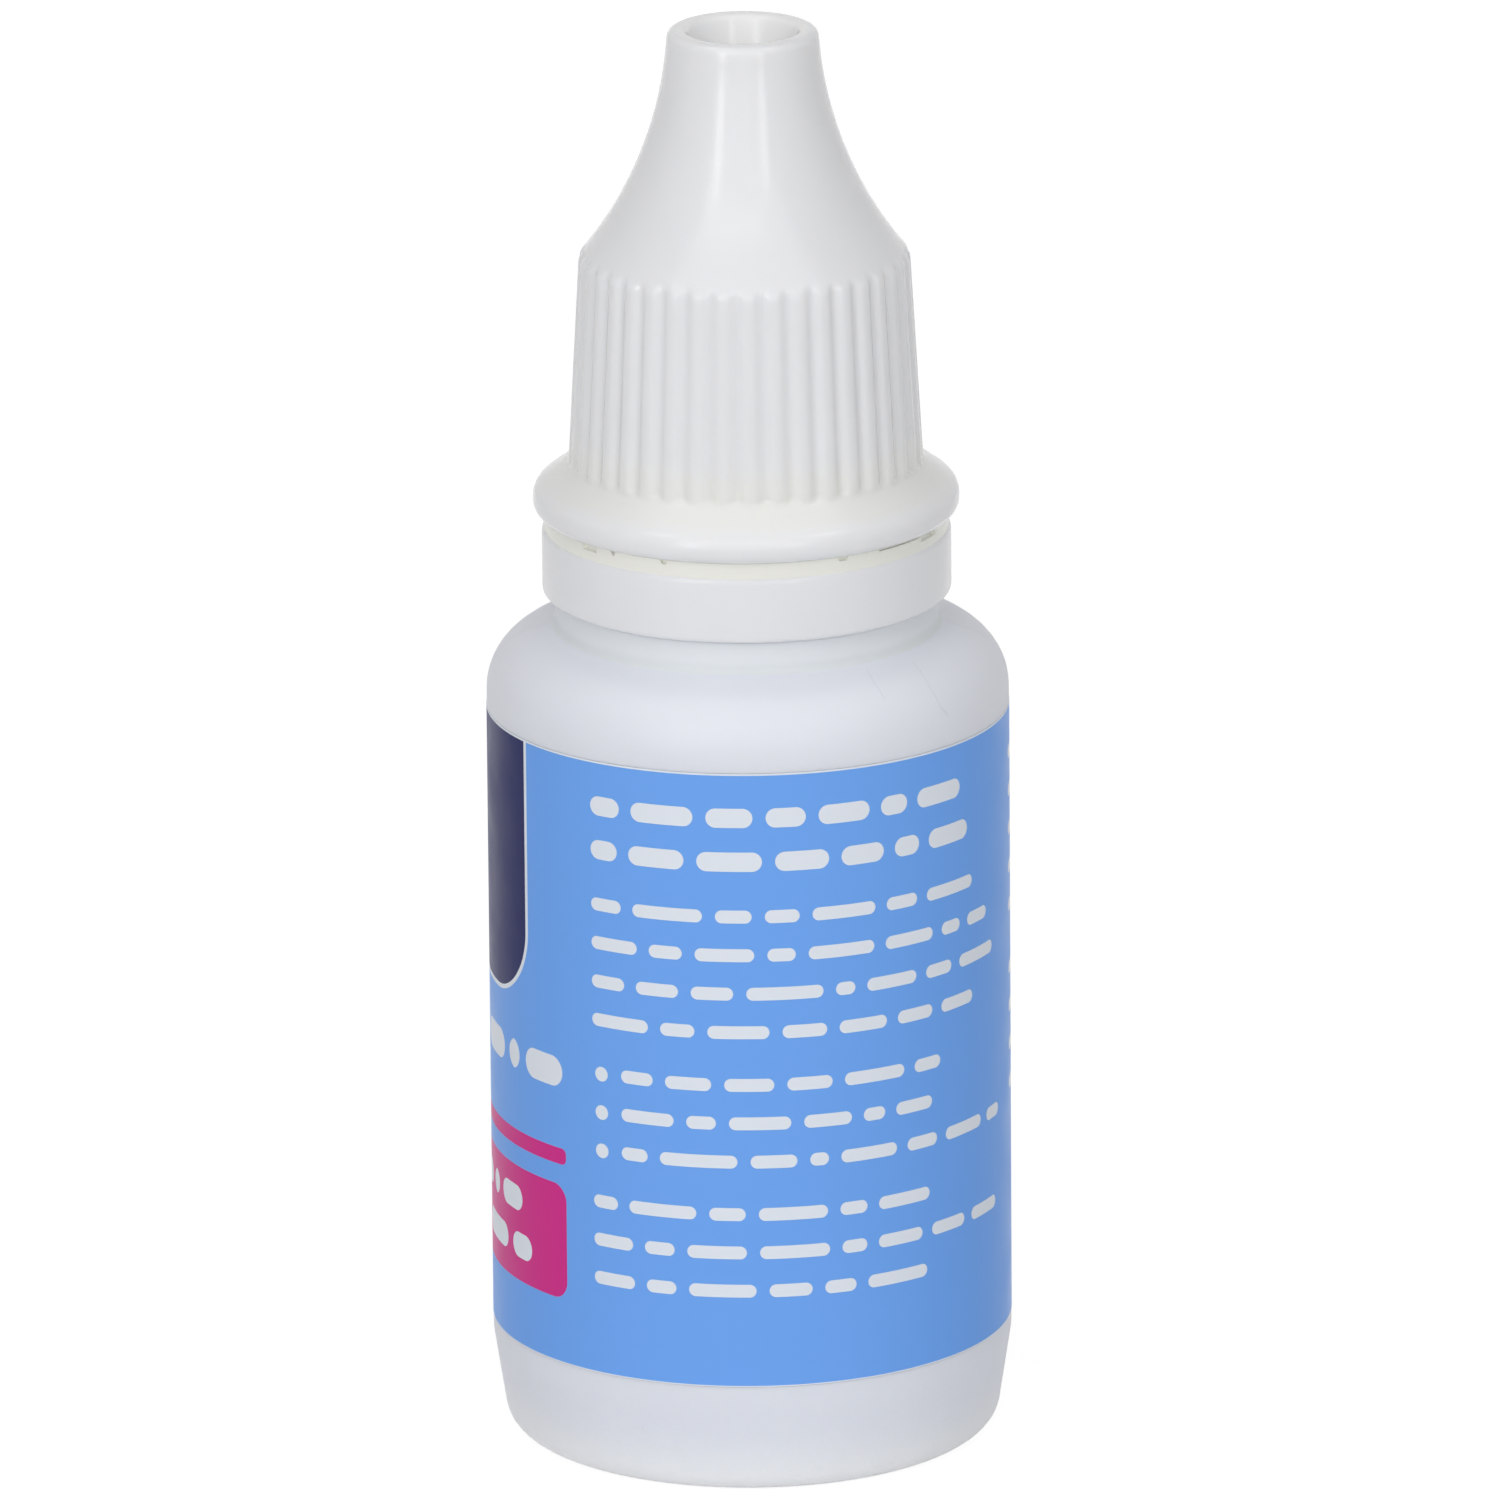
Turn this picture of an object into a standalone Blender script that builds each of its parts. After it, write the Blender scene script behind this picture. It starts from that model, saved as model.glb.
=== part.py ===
"""Eye-drop bottle, 10 ml: squeeze bottle, dropper insert, screw cap, tamper ring and label.

Lengths are in metres and +Z is up. The origin is the centre of the ring that the bottle stands on.
Outlines are given as corners (radius, height, rounding), top to bottom down the outer side.
"""

from math import acos, ceil, hypot, pi, radians, sqrt, tan

import bmesh
import bpy
from mathutils import Vector

MM = 0.001
FULL_TURN = 2 * pi

# Fits shared by several pieces
SEAT_GAP = 0.3 * MM
LABEL_GAP = 0.1 * MM
MERGE_DISTANCE = 0.0005 * MM

# Fineness of round shapes
CHORD_ERROR = 0.04 * MM
NOSE_STEPS = 7
CAVITY_STEPS = 3
BOTTLE_COLUMNS = 48
INSERT_COLUMNS = 28
RING_COLUMNS = 48
SHARP_ANGLE = radians(35)

# Bottle body, heel and base
BODY_RADIUS = 12.4 * MM
BODY_WALL = 1.0 * MM
HEEL_INSET = 0.75 * MM
HEEL_RISE = 4.85 * MM
HEEL_ROUND = 1.4 * MM
FLANK_ROUND = 3.0 * MM
STAND_INSET = 3.0 * MM
PUSH_UP_HEIGHT = 0.9 * MM
PUSH_UP_RUN = 1.6 * MM
SHOULDER_HEIGHT = 39.8 * MM
SHOULDER_DROP = 1.05 * MM
SHOULDER_ROUND = 2.95 * MM

# Bottle neck, from the collar up
COLLAR_RADIUS = 9.1 * MM
COLLAR_HEIGHT = 1.35 * MM
COLLAR_FILLET = 0.35 * MM
COLLAR_WALL = 1.6 * MM
GUIDE_RADIUS = 7.3 * MM
LATCH_RADIUS = 8.4 * MM
LATCH_RISE = 2.05 * MM
LATCH_LAND = 0.4 * MM
LATCH_LEAD_IN = 1.6 * MM
NECK_RADIUS = 6.25 * MM
NECK_HEIGHT = 13.85 * MM
NECK_ROUND = 0.3 * MM
BORE_RADIUS = 4.6 * MM
BORE_DEPTH = 10.5 * MM

# Label
LABEL_FOOT = 5.6 * MM
LABEL_HEIGHT = 30.3 * MM
LABEL_THICKNESS = 0.1 * MM
LABEL_SEAM_WIDTH = 1.0 * MM
LABEL_SEAM_DIRECTION = radians(80)

# Tamper ring
RING_RADIUS = 9.7 * MM
RING_HEIGHT = 3.25 * MM
RING_CLEARANCE = 0.4 * MM
RING_TOP_ROUND = 0.4 * MM
RING_FOOT_ROUND = 0.25 * MM
LUG_COUNT = 8
LUG_COLUMNS = 2
LUG_CLEARANCE = 0.45 * MM
LUG_HEIGHT = 1.0 * MM
LUG_LEAD_IN = 0.5 * MM
BRIDGE_COUNT = 12
BRIDGE_GAP = 0.65 * MM

# Dropper insert
FLANGE_RADIUS = 6.1 * MM
FLANGE_THICKNESS = 0.7 * MM
FLANGE_ROUND = 0.2 * MM
NOZZLE_HEIGHT = 6.9 * MM
NOZZLE_FOOT_RADIUS = 4.3 * MM
NOZZLE_WAIST_RADIUS = 2.4 * MM
NOZZLE_WAIST_HEIGHT = 3.8 * MM
NOZZLE_TIP_RADIUS = 1.9 * MM
NOZZLE_TIP_ROUND = 0.4 * MM
NOZZLE_BLEND = 0.6 * MM
ORIFICE_DEPTH = 1.5 * MM
METERING_RADIUS = 0.35 * MM
METERING_LENGTH = 1.0 * MM
WELL_TOP_RADIUS = 1.2 * MM
WELL_FOOT_RADIUS = 3.0 * MM
BARREL_LENGTH = 8.5 * MM
BARREL_CHAMFER = 0.5 * MM
SEAL_RIB_DEPTH = 0.25 * MM
SEAL_RIB_HEIGHT = 0.7 * MM
SEAL_RIB_DROPS = (1.6 * MM, 5.2 * MM)

# Screw cap, outside
BEAD_RADIUS = 10.1 * MM
BEAD_FOOT_ROUND = 0.75 * MM
BEAD_EDGE_HEIGHT = 1.15 * MM
BEAD_EDGE_ROUND = 0.8 * MM
BEAD_HEIGHT = 2.43 * MM
SKIRT_FOOT_RADIUS = 8.36 * MM
SKIRT_TOP_RADIUS = 7.79 * MM
SKIRT_HEIGHT = 10.02 * MM
SKIRT_FOOT_FILLET = 0.4 * MM
SKIRT_TOP_ROUND = 0.75 * MM
NOSE_TOP_RADIUS = 3.57 * MM
NOSE_HEIGHT = 11.0 * MM
NOSE_ARC_RADIUS = 18.9 * MM
RIM_OUTER_ROUND = 0.45 * MM
RIM_INNER_ROUND = 0.65 * MM

# Screw cap, grip ribs
RIB_COUNT = 40
GROOVE_SHARE = 0.45
GROOVE_DEPTH = 0.28 * MM
GROOVE_SLOPE = 0.13 * MM
GROOVE_FOOT_LAND = 0.45 * MM
GROOVE_TOP_LAND = 0.3 * MM
RIB_DIRECTION = radians(0.9 - 90)

# Screw cap, inside
CAP_BORE_FOOT_RADIUS = 7.05 * MM
CAP_BORE_TOP_RADIUS = 6.85 * MM
CAP_BORE_CHAMFER = 0.3 * MM
CAVITY_RADIUS = 5.4 * MM
NOSE_WALL = 1.4 * MM
WEB_THICKNESS = 1.0 * MM
PIN_RADIUS = 0.6 * MM
PIN_LENGTH = 1.2 * MM
PIN_ROUND = 0.25 * MM
RECESS_MOUTH_RADIUS = 2.45 * MM
RECESS_FLOOR_RADIUS = 2.15 * MM
RECESS_FLOOR_ROUND = 0.5 * MM

# Heights that follow, from the base up
COLLAR_TOP = SHOULDER_HEIGHT + COLLAR_HEIGHT
LATCH_FOOT = COLLAR_TOP + LATCH_RISE
NECK_TOP = COLLAR_TOP + NECK_HEIGHT
RING_FOOT = COLLAR_TOP + SEAT_GAP
RING_TOP = RING_FOOT + RING_HEIGHT
CAP_FOOT = RING_TOP + BRIDGE_GAP
SKIRT_FOOT = CAP_FOOT + BEAD_HEIGHT
SKIRT_TOP = SKIRT_FOOT + SKIRT_HEIGHT
CAP_TOP = SKIRT_TOP + NOSE_HEIGHT
FLANGE_FOOT = NECK_TOP + SEAT_GAP
FLANGE_TOP = FLANGE_FOOT + FLANGE_THICKNESS
TIP_TOP = FLANGE_TOP + NOZZLE_HEIGHT
CAP_CEILING = FLANGE_TOP + SEAT_GAP
WEB_FOOT = TIP_TOP + SEAT_GAP
RECESS_FLOOR = WEB_FOOT + WEB_THICKNESS

# Colours of the photographed plastics, as 8-bit sRGB, and their roughness
CAP_COLOUR = (240, 240, 237)
BOTTLE_COLOUR = (236, 239, 244)
INSERT_COLOUR = (240, 242, 244)
LABEL_COLOUR = (107, 161, 235)
MOULDED_ROUGHNESS = 0.35
SOFT_ROUGHNESS = 0.45
FILM_ROUGHNESS = 0.3


def clear_scene():
    for item in list(bpy.data.objects):
        bpy.data.objects.remove(item, do_unlink=True)


def linear(channel):
    """Linear value of one 8-bit sRGB channel."""
    share = channel / 255
    return share / 12.92 if share <= 0.04045 else ((share + 0.055) / 1.055) ** 2.4


def plastic(name, colour, roughness):
    material = bpy.data.materials.new(name)
    material.use_nodes = True
    shader = material.node_tree.nodes["Principled BSDF"]
    shader.inputs["Base Color"].default_value = [linear(channel) for channel in colour] + [1]
    shader.inputs["Roughness"].default_value = roughness
    shader.inputs["Metallic"].default_value = 0
    return material


def side_and_room(corners, index, neighbour):
    """Vector from a corner to its neighbour, and how much of that side the corner's rounding may take."""
    corner = corners[index]
    other = corners[neighbour % len(corners)]
    side = Vector(other[:2]) - Vector(corner[:2])
    return side, side.length * corner[2] / (corner[2] + other[2])


def rounded(corners):
    """Outline points through the corners, each rounding drawn as an arc that fits its two sides."""
    points = []
    for index, (radius, height, rounding) in enumerate(corners):
        corner = Vector((radius, height))
        if not rounding:
            points.append(corner)
            continue
        before, room_before = side_and_room(corners, index, index - 1)
        after, room_after = side_and_room(corners, index, index + 1)
        half_opening = before.angle(after) / 2
        reach = min(rounding / tan(half_opening), room_before, room_after)
        arc_radius = reach * tan(half_opening)
        middle_line = (before.normalized() + after.normalized()).normalized()
        centre = corner + middle_line * hypot(reach, arc_radius)
        first = corner + before.normalized() * reach - centre
        last = corner + after.normalized() * reach - centre
        widest_step = 2 * acos(1 - min(CHORD_ERROR / arc_radius, 0.5))
        steps = max(1, ceil((pi - 2 * half_opening) / widest_step))
        directions = [first.slerp(last, step / steps).normalized() for step in range(steps + 1)]
        points += [centre + direction * arc_radius for direction in directions]
    return points


def nose_arc_centre():
    """Centre of the concave nose's arc, outside the cap, from the arc's two ends and its radius."""
    top = Vector((NOSE_TOP_RADIUS, CAP_TOP))
    foot = Vector((SKIRT_TOP_RADIUS, SKIRT_TOP))
    chord = foot - top
    outward = Vector((-chord.y, chord.x)).normalized()
    return (top + foot) / 2 + outward * sqrt(NOSE_ARC_RADIUS ** 2 - (chord.length / 2) ** 2)


def nose_radius(height, wall=0):
    """Radius of the nose at a height, or of its cavity with a wall between them."""
    centre = nose_arc_centre()
    return centre.x - sqrt((NOSE_ARC_RADIUS + wall) ** 2 - (height - centre.y) ** 2)


def nose_height(radius, wall=0):
    """Height at which the nose, or its cavity, has a radius."""
    centre = nose_arc_centre()
    return centre.y - sqrt((NOSE_ARC_RADIUS + wall) ** 2 - (centre.x - radius) ** 2)


def nose_corners(first, last, steps, wall=0):
    """Corners along the nose's arc between two heights, the ends left out."""
    heights = [first + (last - first) * step / steps for step in range(1, steps)]
    return [(nose_radius(height, wall), height, 0) for height in heights]


def add_outline(mesh, points, closed):
    """Draw outline points as a chain of edges in the XZ plane."""
    verts = [mesh.verts.new((point.x, 0, point.y)) for point in points]
    pairs = list(zip(verts, verts[1:]))
    if closed:
        pairs.append((verts[-1], verts[0]))
    return verts + [mesh.edges.new(pair) for pair in pairs]


def spin(mesh, shape, angle, steps, copies=False):
    """Turn a shape about Z and return its last position."""
    turned = bmesh.ops.spin(
        mesh, geom=shape, cent=(0, 0, 0), axis=(0, 0, 1), angle=angle, steps=steps, use_duplicate=copies
    )
    return turned["geom_last"]


def close_seams(mesh):
    bmesh.ops.remove_doubles(mesh, verts=mesh.verts, dist=MERGE_DISTANCE)
    bmesh.ops.recalc_face_normals(mesh, faces=mesh.faces)


def turned_mesh(points, columns, closed):
    """Turn an outline once about Z."""
    mesh = bmesh.new()
    spin(mesh, add_outline(mesh, points, closed), FULL_TURN, columns)
    close_seams(mesh)
    return mesh


def add_piece(name, mesh, material, origin_height, parent=None):
    """Make an object whose origin lies on the bottle's axis at a height."""
    bmesh.ops.translate(mesh, verts=mesh.verts, vec=(0, 0, -origin_height))
    data = bpy.data.meshes.new(name)
    mesh.to_mesh(data)
    mesh.free()
    data.materials.append(material)
    data.shade_smooth()
    data.set_sharp_from_angle(angle=SHARP_ANGLE)
    piece = bpy.data.objects.new(name, data)
    bpy.context.collection.objects.link(piece)
    piece.parent = parent
    piece.location.z = origin_height - (parent.matrix_world.translation.z if parent else 0)
    bpy.context.view_layer.update()
    return piece


def bottle_outline():
    """Hollow blown bottle: inner floor out and up to the mouth, then down the outside to the base."""
    neck_slope = LATCH_FOOT + LATCH_LAND + LATCH_LEAD_IN
    panel_radius = BODY_RADIUS - LABEL_GAP
    panel_foot = LABEL_FOOT - LABEL_GAP
    panel_top = LABEL_FOOT + LABEL_HEIGHT + LABEL_GAP
    heel_radius = BODY_RADIUS - HEEL_INSET
    stand_radius = BODY_RADIUS - STAND_INSET
    push_up_radius = stand_radius - PUSH_UP_RUN
    shoulder_edge = SHOULDER_HEIGHT - SHOULDER_DROP
    inside = [
        (0, PUSH_UP_HEIGHT + BODY_WALL, 0),
        (push_up_radius, PUSH_UP_HEIGHT + BODY_WALL, PUSH_UP_RUN),
        (stand_radius, BODY_WALL, 0),
        (heel_radius - BODY_WALL, BODY_WALL, HEEL_ROUND),
        (BODY_RADIUS - BODY_WALL, HEEL_RISE, FLANK_ROUND),
        (BODY_RADIUS - BODY_WALL, shoulder_edge - BODY_WALL, SHOULDER_ROUND - BODY_WALL),
        (COLLAR_RADIUS - COLLAR_WALL, SHOULDER_HEIGHT - BODY_WALL, 0),
        (COLLAR_RADIUS - COLLAR_WALL, COLLAR_TOP, 0),
        (BORE_RADIUS, NECK_TOP - BORE_DEPTH, 0),
        (BORE_RADIUS, NECK_TOP, NECK_ROUND),
    ]
    outside = [
        (NECK_RADIUS, NECK_TOP, NECK_ROUND),
        (NECK_RADIUS, neck_slope, 0),
        (LATCH_RADIUS, LATCH_FOOT + LATCH_LAND, 0),
        (LATCH_RADIUS, LATCH_FOOT, 0),
        (GUIDE_RADIUS, LATCH_FOOT, 0),
        (GUIDE_RADIUS, COLLAR_TOP, 0),
        (COLLAR_RADIUS, COLLAR_TOP, 0),
        (COLLAR_RADIUS, SHOULDER_HEIGHT, COLLAR_FILLET),
        (BODY_RADIUS, shoulder_edge, SHOULDER_ROUND),
        (BODY_RADIUS, panel_top, 0),
        (panel_radius, panel_top, 0),
        (panel_radius, panel_foot, 0),
        (BODY_RADIUS, panel_foot, 0),
        (BODY_RADIUS, HEEL_RISE, FLANK_ROUND),
        (heel_radius, 0, HEEL_ROUND),
        (stand_radius, 0, 0),
        (push_up_radius, PUSH_UP_HEIGHT, PUSH_UP_RUN),
        (0, PUSH_UP_HEIGHT, 0),
    ]
    return rounded(inside + outside)


def build_bottle():
    material = plastic("bottle_polyethylene", BOTTLE_COLOUR, SOFT_ROUGHNESS)
    mesh = turned_mesh(bottle_outline(), BOTTLE_COLUMNS, closed=False)
    return add_piece("bottle", mesh, material, 0)


def build_label(bottle):
    """Film strip round the body's panel, its two ends a seam's width apart."""
    inner = BODY_RADIUS
    outer = BODY_RADIUS + LABEL_THICKNESS
    head = LABEL_FOOT + LABEL_HEIGHT
    seam_angle = LABEL_SEAM_WIDTH / outer
    mesh = bmesh.new()
    section = [Vector(point) for point in ((outer, head), (outer, LABEL_FOOT), (inner, LABEL_FOOT), (inner, head))]
    outline = add_outline(mesh, section, closed=True)
    end = mesh.faces.new([item for item in outline if isinstance(item, bmesh.types.BMVert)])
    spin(mesh, outline + [end], FULL_TURN - seam_angle, BOTTLE_COLUMNS)
    close_seams(mesh)
    label = add_piece("label", mesh, plastic("label_film", LABEL_COLOUR, FILM_ROUGHNESS), LABEL_FOOT, bottle)
    label.rotation_euler.z = LABEL_SEAM_DIRECTION + seam_angle / 2
    return label


def insert_outline():
    """Dropper insert: orifice, nozzle, flange and barrel with sealing ribs, then up the inner well."""
    barrel_foot = FLANGE_FOOT - BARREL_LENGTH
    rib_radius = BORE_RADIUS - SEAT_GAP
    barrel_radius = rib_radius - SEAL_RIB_DEPTH
    orifice_floor = TIP_TOP - ORIFICE_DEPTH
    metering_foot = orifice_floor - METERING_LENGTH
    corners = [
        (PIN_RADIUS + SEAT_GAP, TIP_TOP, 0),
        (NOZZLE_TIP_RADIUS, TIP_TOP, NOZZLE_TIP_ROUND),
        (NOZZLE_WAIST_RADIUS, FLANGE_TOP + NOZZLE_WAIST_HEIGHT, 0),
        (NOZZLE_FOOT_RADIUS, FLANGE_TOP, NOZZLE_BLEND),
        (FLANGE_RADIUS, FLANGE_TOP, FLANGE_ROUND),
        (FLANGE_RADIUS, FLANGE_FOOT, 0),
        (barrel_radius, FLANGE_FOOT, 0),
    ]
    for drop in SEAL_RIB_DROPS:
        rib_top = FLANGE_FOOT - drop
        corners += [
            (barrel_radius, rib_top, 0),
            (rib_radius, rib_top - SEAL_RIB_HEIGHT / 2, SEAL_RIB_HEIGHT / 2),
            (barrel_radius, rib_top - SEAL_RIB_HEIGHT, 0),
        ]
    corners += [
        (barrel_radius, barrel_foot + BARREL_CHAMFER, 0),
        (barrel_radius - BARREL_CHAMFER, barrel_foot, 0),
        (WELL_FOOT_RADIUS, barrel_foot, 0),
        (WELL_TOP_RADIUS, metering_foot, 0),
        (METERING_RADIUS, metering_foot, 0),
        (METERING_RADIUS, orifice_floor, 0),
        (PIN_RADIUS + SEAT_GAP, orifice_floor, 0),
    ]
    return rounded(corners)


def build_insert(bottle):
    material = plastic("insert_polyethylene", INSERT_COLOUR, SOFT_ROUGHNESS)
    mesh = turned_mesh(insert_outline(), INSERT_COLUMNS, closed=True)
    return add_piece("dropper_insert", mesh, material, FLANGE_FOOT, bottle)


def ring_levels():
    """Heights on the ring's inner wall between which the lugs grow."""
    lug_top = LATCH_FOOT - SEAT_GAP
    return lug_top - LUG_HEIGHT, lug_top


def ring_outline():
    lug_foot, lug_top = ring_levels()
    inner = LATCH_RADIUS + RING_CLEARANCE
    corners = [
        (inner, RING_TOP, 0),
        (RING_RADIUS, RING_TOP, RING_TOP_ROUND),
        (RING_RADIUS, RING_FOOT, RING_FOOT_ROUND),
        (inner, RING_FOOT, 0),
        (inner, lug_foot, 0),
        (inner, lug_top, 0),
    ]
    return rounded(corners)


def faces_in_columns(mesh, low, high, period, width):
    """Faces whose corners lie between two heights, in the first columns of every period."""
    column_angle = FULL_TURN / RING_COLUMNS
    chosen = []
    for face in mesh.faces:
        heights = [vert.co.z for vert in face.verts]
        if min(heights) < low - MERGE_DISTANCE or max(heights) > high + MERGE_DISTANCE:
            continue
        centre = face.calc_center_median()
        column = int(centre.xy.angle_signed(Vector((1, 0))) % FULL_TURN / column_angle)
        if column % period < width:
            chosen.append(face)
    return chosen


def grow(mesh, faces):
    """Extrude faces as blocks and return the moved corners."""
    grown = bmesh.ops.extrude_face_region(mesh, geom=faces)["geom"]
    bmesh.ops.delete(mesh, geom=faces, context="FACES")
    return [item for item in grown if isinstance(item, bmesh.types.BMVert)]


def add_lugs(mesh):
    """Lugs that catch under the neck's latch bead, with a lead-in below for snapping the ring on."""
    lug_foot, lug_top = ring_levels()
    reach = (GUIDE_RADIUS + LUG_CLEARANCE) / (LATCH_RADIUS + RING_CLEARANCE)
    corners = grow(mesh, faces_in_columns(mesh, lug_foot, lug_top, RING_COLUMNS // LUG_COUNT, LUG_COLUMNS))
    for corner in corners:
        corner.co.xy *= reach
        if corner.co.z < lug_top - MERGE_DISTANCE:
            corner.co.z += LUG_LEAD_IN


def add_bridges(mesh):
    """Stubs of the breakable bridges on the ring's top, short of the cap by the seat gap."""
    for corner in grow(mesh, faces_in_columns(mesh, RING_TOP, RING_TOP, RING_COLUMNS // BRIDGE_COUNT, 1)):
        corner.co.z += BRIDGE_GAP - SEAT_GAP


def build_tamper_ring(bottle):
    mesh = turned_mesh(ring_outline(), RING_COLUMNS, closed=True)
    add_lugs(mesh)
    add_bridges(mesh)
    close_seams(mesh)
    material = plastic("ring_polyethylene", CAP_COLOUR, MOULDED_ROUGHNESS)
    return add_piece("tamper_ring", mesh, material, RING_FOOT, bottle)


def groove_levels():
    return SKIRT_FOOT + GROOVE_FOOT_LAND, SKIRT_TOP - GROOVE_TOP_LAND


def skirt_radius(height):
    share = (height - SKIRT_FOOT) / SKIRT_HEIGHT
    return SKIRT_FOOT_RADIUS + (SKIRT_TOP_RADIUS - SKIRT_FOOT_RADIUS) * share


def cap_outline():
    """Recess floor out and over the rim, down nose, skirt and bead, then up the bore to the seal pin."""
    groove_foot, groove_top = groove_levels()
    cavity_foot = nose_height(CAVITY_RADIUS, NOSE_WALL)
    corners = [
        (0, RECESS_FLOOR, 0),
        (RECESS_FLOOR_RADIUS, RECESS_FLOOR, RECESS_FLOOR_ROUND),
        (RECESS_MOUTH_RADIUS, CAP_TOP, RIM_INNER_ROUND),
        (NOSE_TOP_RADIUS, CAP_TOP, RIM_OUTER_ROUND),
        *nose_corners(CAP_TOP, SKIRT_TOP, NOSE_STEPS),
        (SKIRT_TOP_RADIUS, SKIRT_TOP, SKIRT_TOP_ROUND),
        (skirt_radius(groove_top), groove_top, 0),
        (skirt_radius(groove_foot), groove_foot, 0),
        (SKIRT_FOOT_RADIUS, SKIRT_FOOT, SKIRT_FOOT_FILLET),
        (BEAD_RADIUS, CAP_FOOT + BEAD_EDGE_HEIGHT, BEAD_EDGE_ROUND),
        (BEAD_RADIUS, CAP_FOOT, BEAD_FOOT_ROUND),
        (CAP_BORE_FOOT_RADIUS + CAP_BORE_CHAMFER, CAP_FOOT, 0),
        (CAP_BORE_FOOT_RADIUS, CAP_FOOT + CAP_BORE_CHAMFER, 0),
        (CAP_BORE_TOP_RADIUS, CAP_CEILING, 0),
        (CAVITY_RADIUS, CAP_CEILING, 0),
        (CAVITY_RADIUS, cavity_foot, 0),
        *nose_corners(cavity_foot, WEB_FOOT, CAVITY_STEPS, NOSE_WALL),
        (nose_radius(WEB_FOOT, NOSE_WALL), WEB_FOOT, 0),
        (PIN_RADIUS, WEB_FOOT, 0),
        (PIN_RADIUS, WEB_FOOT - PIN_LENGTH, PIN_ROUND),
        (0, WEB_FOOT - PIN_LENGTH, 0),
    ]
    return rounded(corners)


def is_groove_panel(face):
    """Whether a face spans the grooved height of the skirt's outside."""
    groove_foot, groove_top = groove_levels()
    heights = [vert.co.z for vert in face.verts]
    outside = min(vert.co.xy.length for vert in face.verts) > CAP_BORE_FOOT_RADIUS
    tall = min(heights) > groove_foot - MERGE_DISTANCE and max(heights) < groove_top + MERGE_DISTANCE
    return outside and tall


def cap_mesh():
    """One rib and one groove are turned and inset, and that sector is repeated round the axis."""
    pitch = FULL_TURN / RIB_COUNT
    mesh = bmesh.new()
    rib_end = spin(mesh, add_outline(mesh, cap_outline(), closed=False), pitch * (1 - GROOVE_SHARE), 1)
    rib_faces = set(mesh.faces)
    spin(mesh, rib_end, pitch * GROOVE_SHARE, 1)
    bmesh.ops.recalc_face_normals(mesh, faces=mesh.faces)
    panels = [face for face in mesh.faces if face not in rib_faces and is_groove_panel(face)]
    bmesh.ops.inset_individual(mesh, faces=panels, thickness=GROOVE_SLOPE, depth=-GROOVE_DEPTH)
    sector = mesh.verts[:] + mesh.edges[:] + mesh.faces[:]
    spin(mesh, sector, FULL_TURN - pitch, RIB_COUNT - 1, copies=True)
    close_seams(mesh)
    return mesh


def build_screw_cap(tamper_ring):
    material = plastic("cap_polyethylene", CAP_COLOUR, MOULDED_ROUGHNESS)
    cap = add_piece("screw_cap", cap_mesh(), material, CAP_FOOT, tamper_ring)
    half_rib = FULL_TURN / RIB_COUNT * (1 - GROOVE_SHARE) / 2
    cap.rotation_euler.z = RIB_DIRECTION - half_rib
    return cap


def main():
    clear_scene()
    bottle = build_bottle()
    build_label(bottle)
    build_insert(bottle)
    tamper_ring = build_tamper_ring(bottle)
    build_screw_cap(tamper_ring)


main()
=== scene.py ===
"""Looks of a small eye-drop bottle: squeeze bottle, label, dropper insert, tamper ring and screw cap.

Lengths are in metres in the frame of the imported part. Z runs up the bottle's axis from the plane that it
stands on, and -Y faces the camera. An azimuth counts from -Y towards +X. Outlines are given as corners
(radius, height, rounding).
"""

from math import acos, ceil, cos, hypot, pi, radians, sin, sqrt, tan

import bmesh
import bpy
from mathutils import Euler, Matrix, Vector


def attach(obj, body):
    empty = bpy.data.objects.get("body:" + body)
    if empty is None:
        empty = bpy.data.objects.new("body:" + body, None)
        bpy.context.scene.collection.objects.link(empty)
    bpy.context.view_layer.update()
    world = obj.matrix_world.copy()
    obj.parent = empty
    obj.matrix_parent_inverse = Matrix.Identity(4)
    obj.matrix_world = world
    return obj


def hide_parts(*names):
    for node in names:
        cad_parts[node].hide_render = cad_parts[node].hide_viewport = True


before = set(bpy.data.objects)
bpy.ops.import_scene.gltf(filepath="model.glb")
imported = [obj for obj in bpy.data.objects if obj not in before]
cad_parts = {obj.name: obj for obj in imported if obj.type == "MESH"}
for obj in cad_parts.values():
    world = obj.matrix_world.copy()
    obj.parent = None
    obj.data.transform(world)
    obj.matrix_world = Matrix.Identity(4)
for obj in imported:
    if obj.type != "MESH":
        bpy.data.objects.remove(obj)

bl_info = {
    "name": "Dropper Bottle",
    "version": (1, 0, 0),
    "blender": (4, 5, 0),
    "location": "View3D > Sidebar > Bottle",
    "description": "Builds an eye-drop bottle with its cap, ring, insert and label, and a plain studio",
    "category": "Add Mesh",
}

MM = 0.001
FULL_TURN = 2 * pi
MERGE_DISTANCE = 0.0005 * MM

# Fineness of the meshes
CHORD_ERROR = 0.006 * MM
BOTTLE_COLUMNS = 144
INSERT_COLUMNS = 72
RING_COLUMNS = 144
CAP_COLUMNS = 120
RIB_STEPS = 12
THREAD_COLUMNS = 72
SHARP_ANGLE = radians(32)

# Moulded plastic: its clouds of colour and gloss
CLOUD_TINT = 0.975
CLOUD_TINT_RANGE = (0.15, 0.8)
CLOUD_GLOSS_RANGE = (0.25, 0.75)
ROUGHNESS_RISE = 0.05
MOULDED_GRAIN = 0.003 * MM

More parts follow.
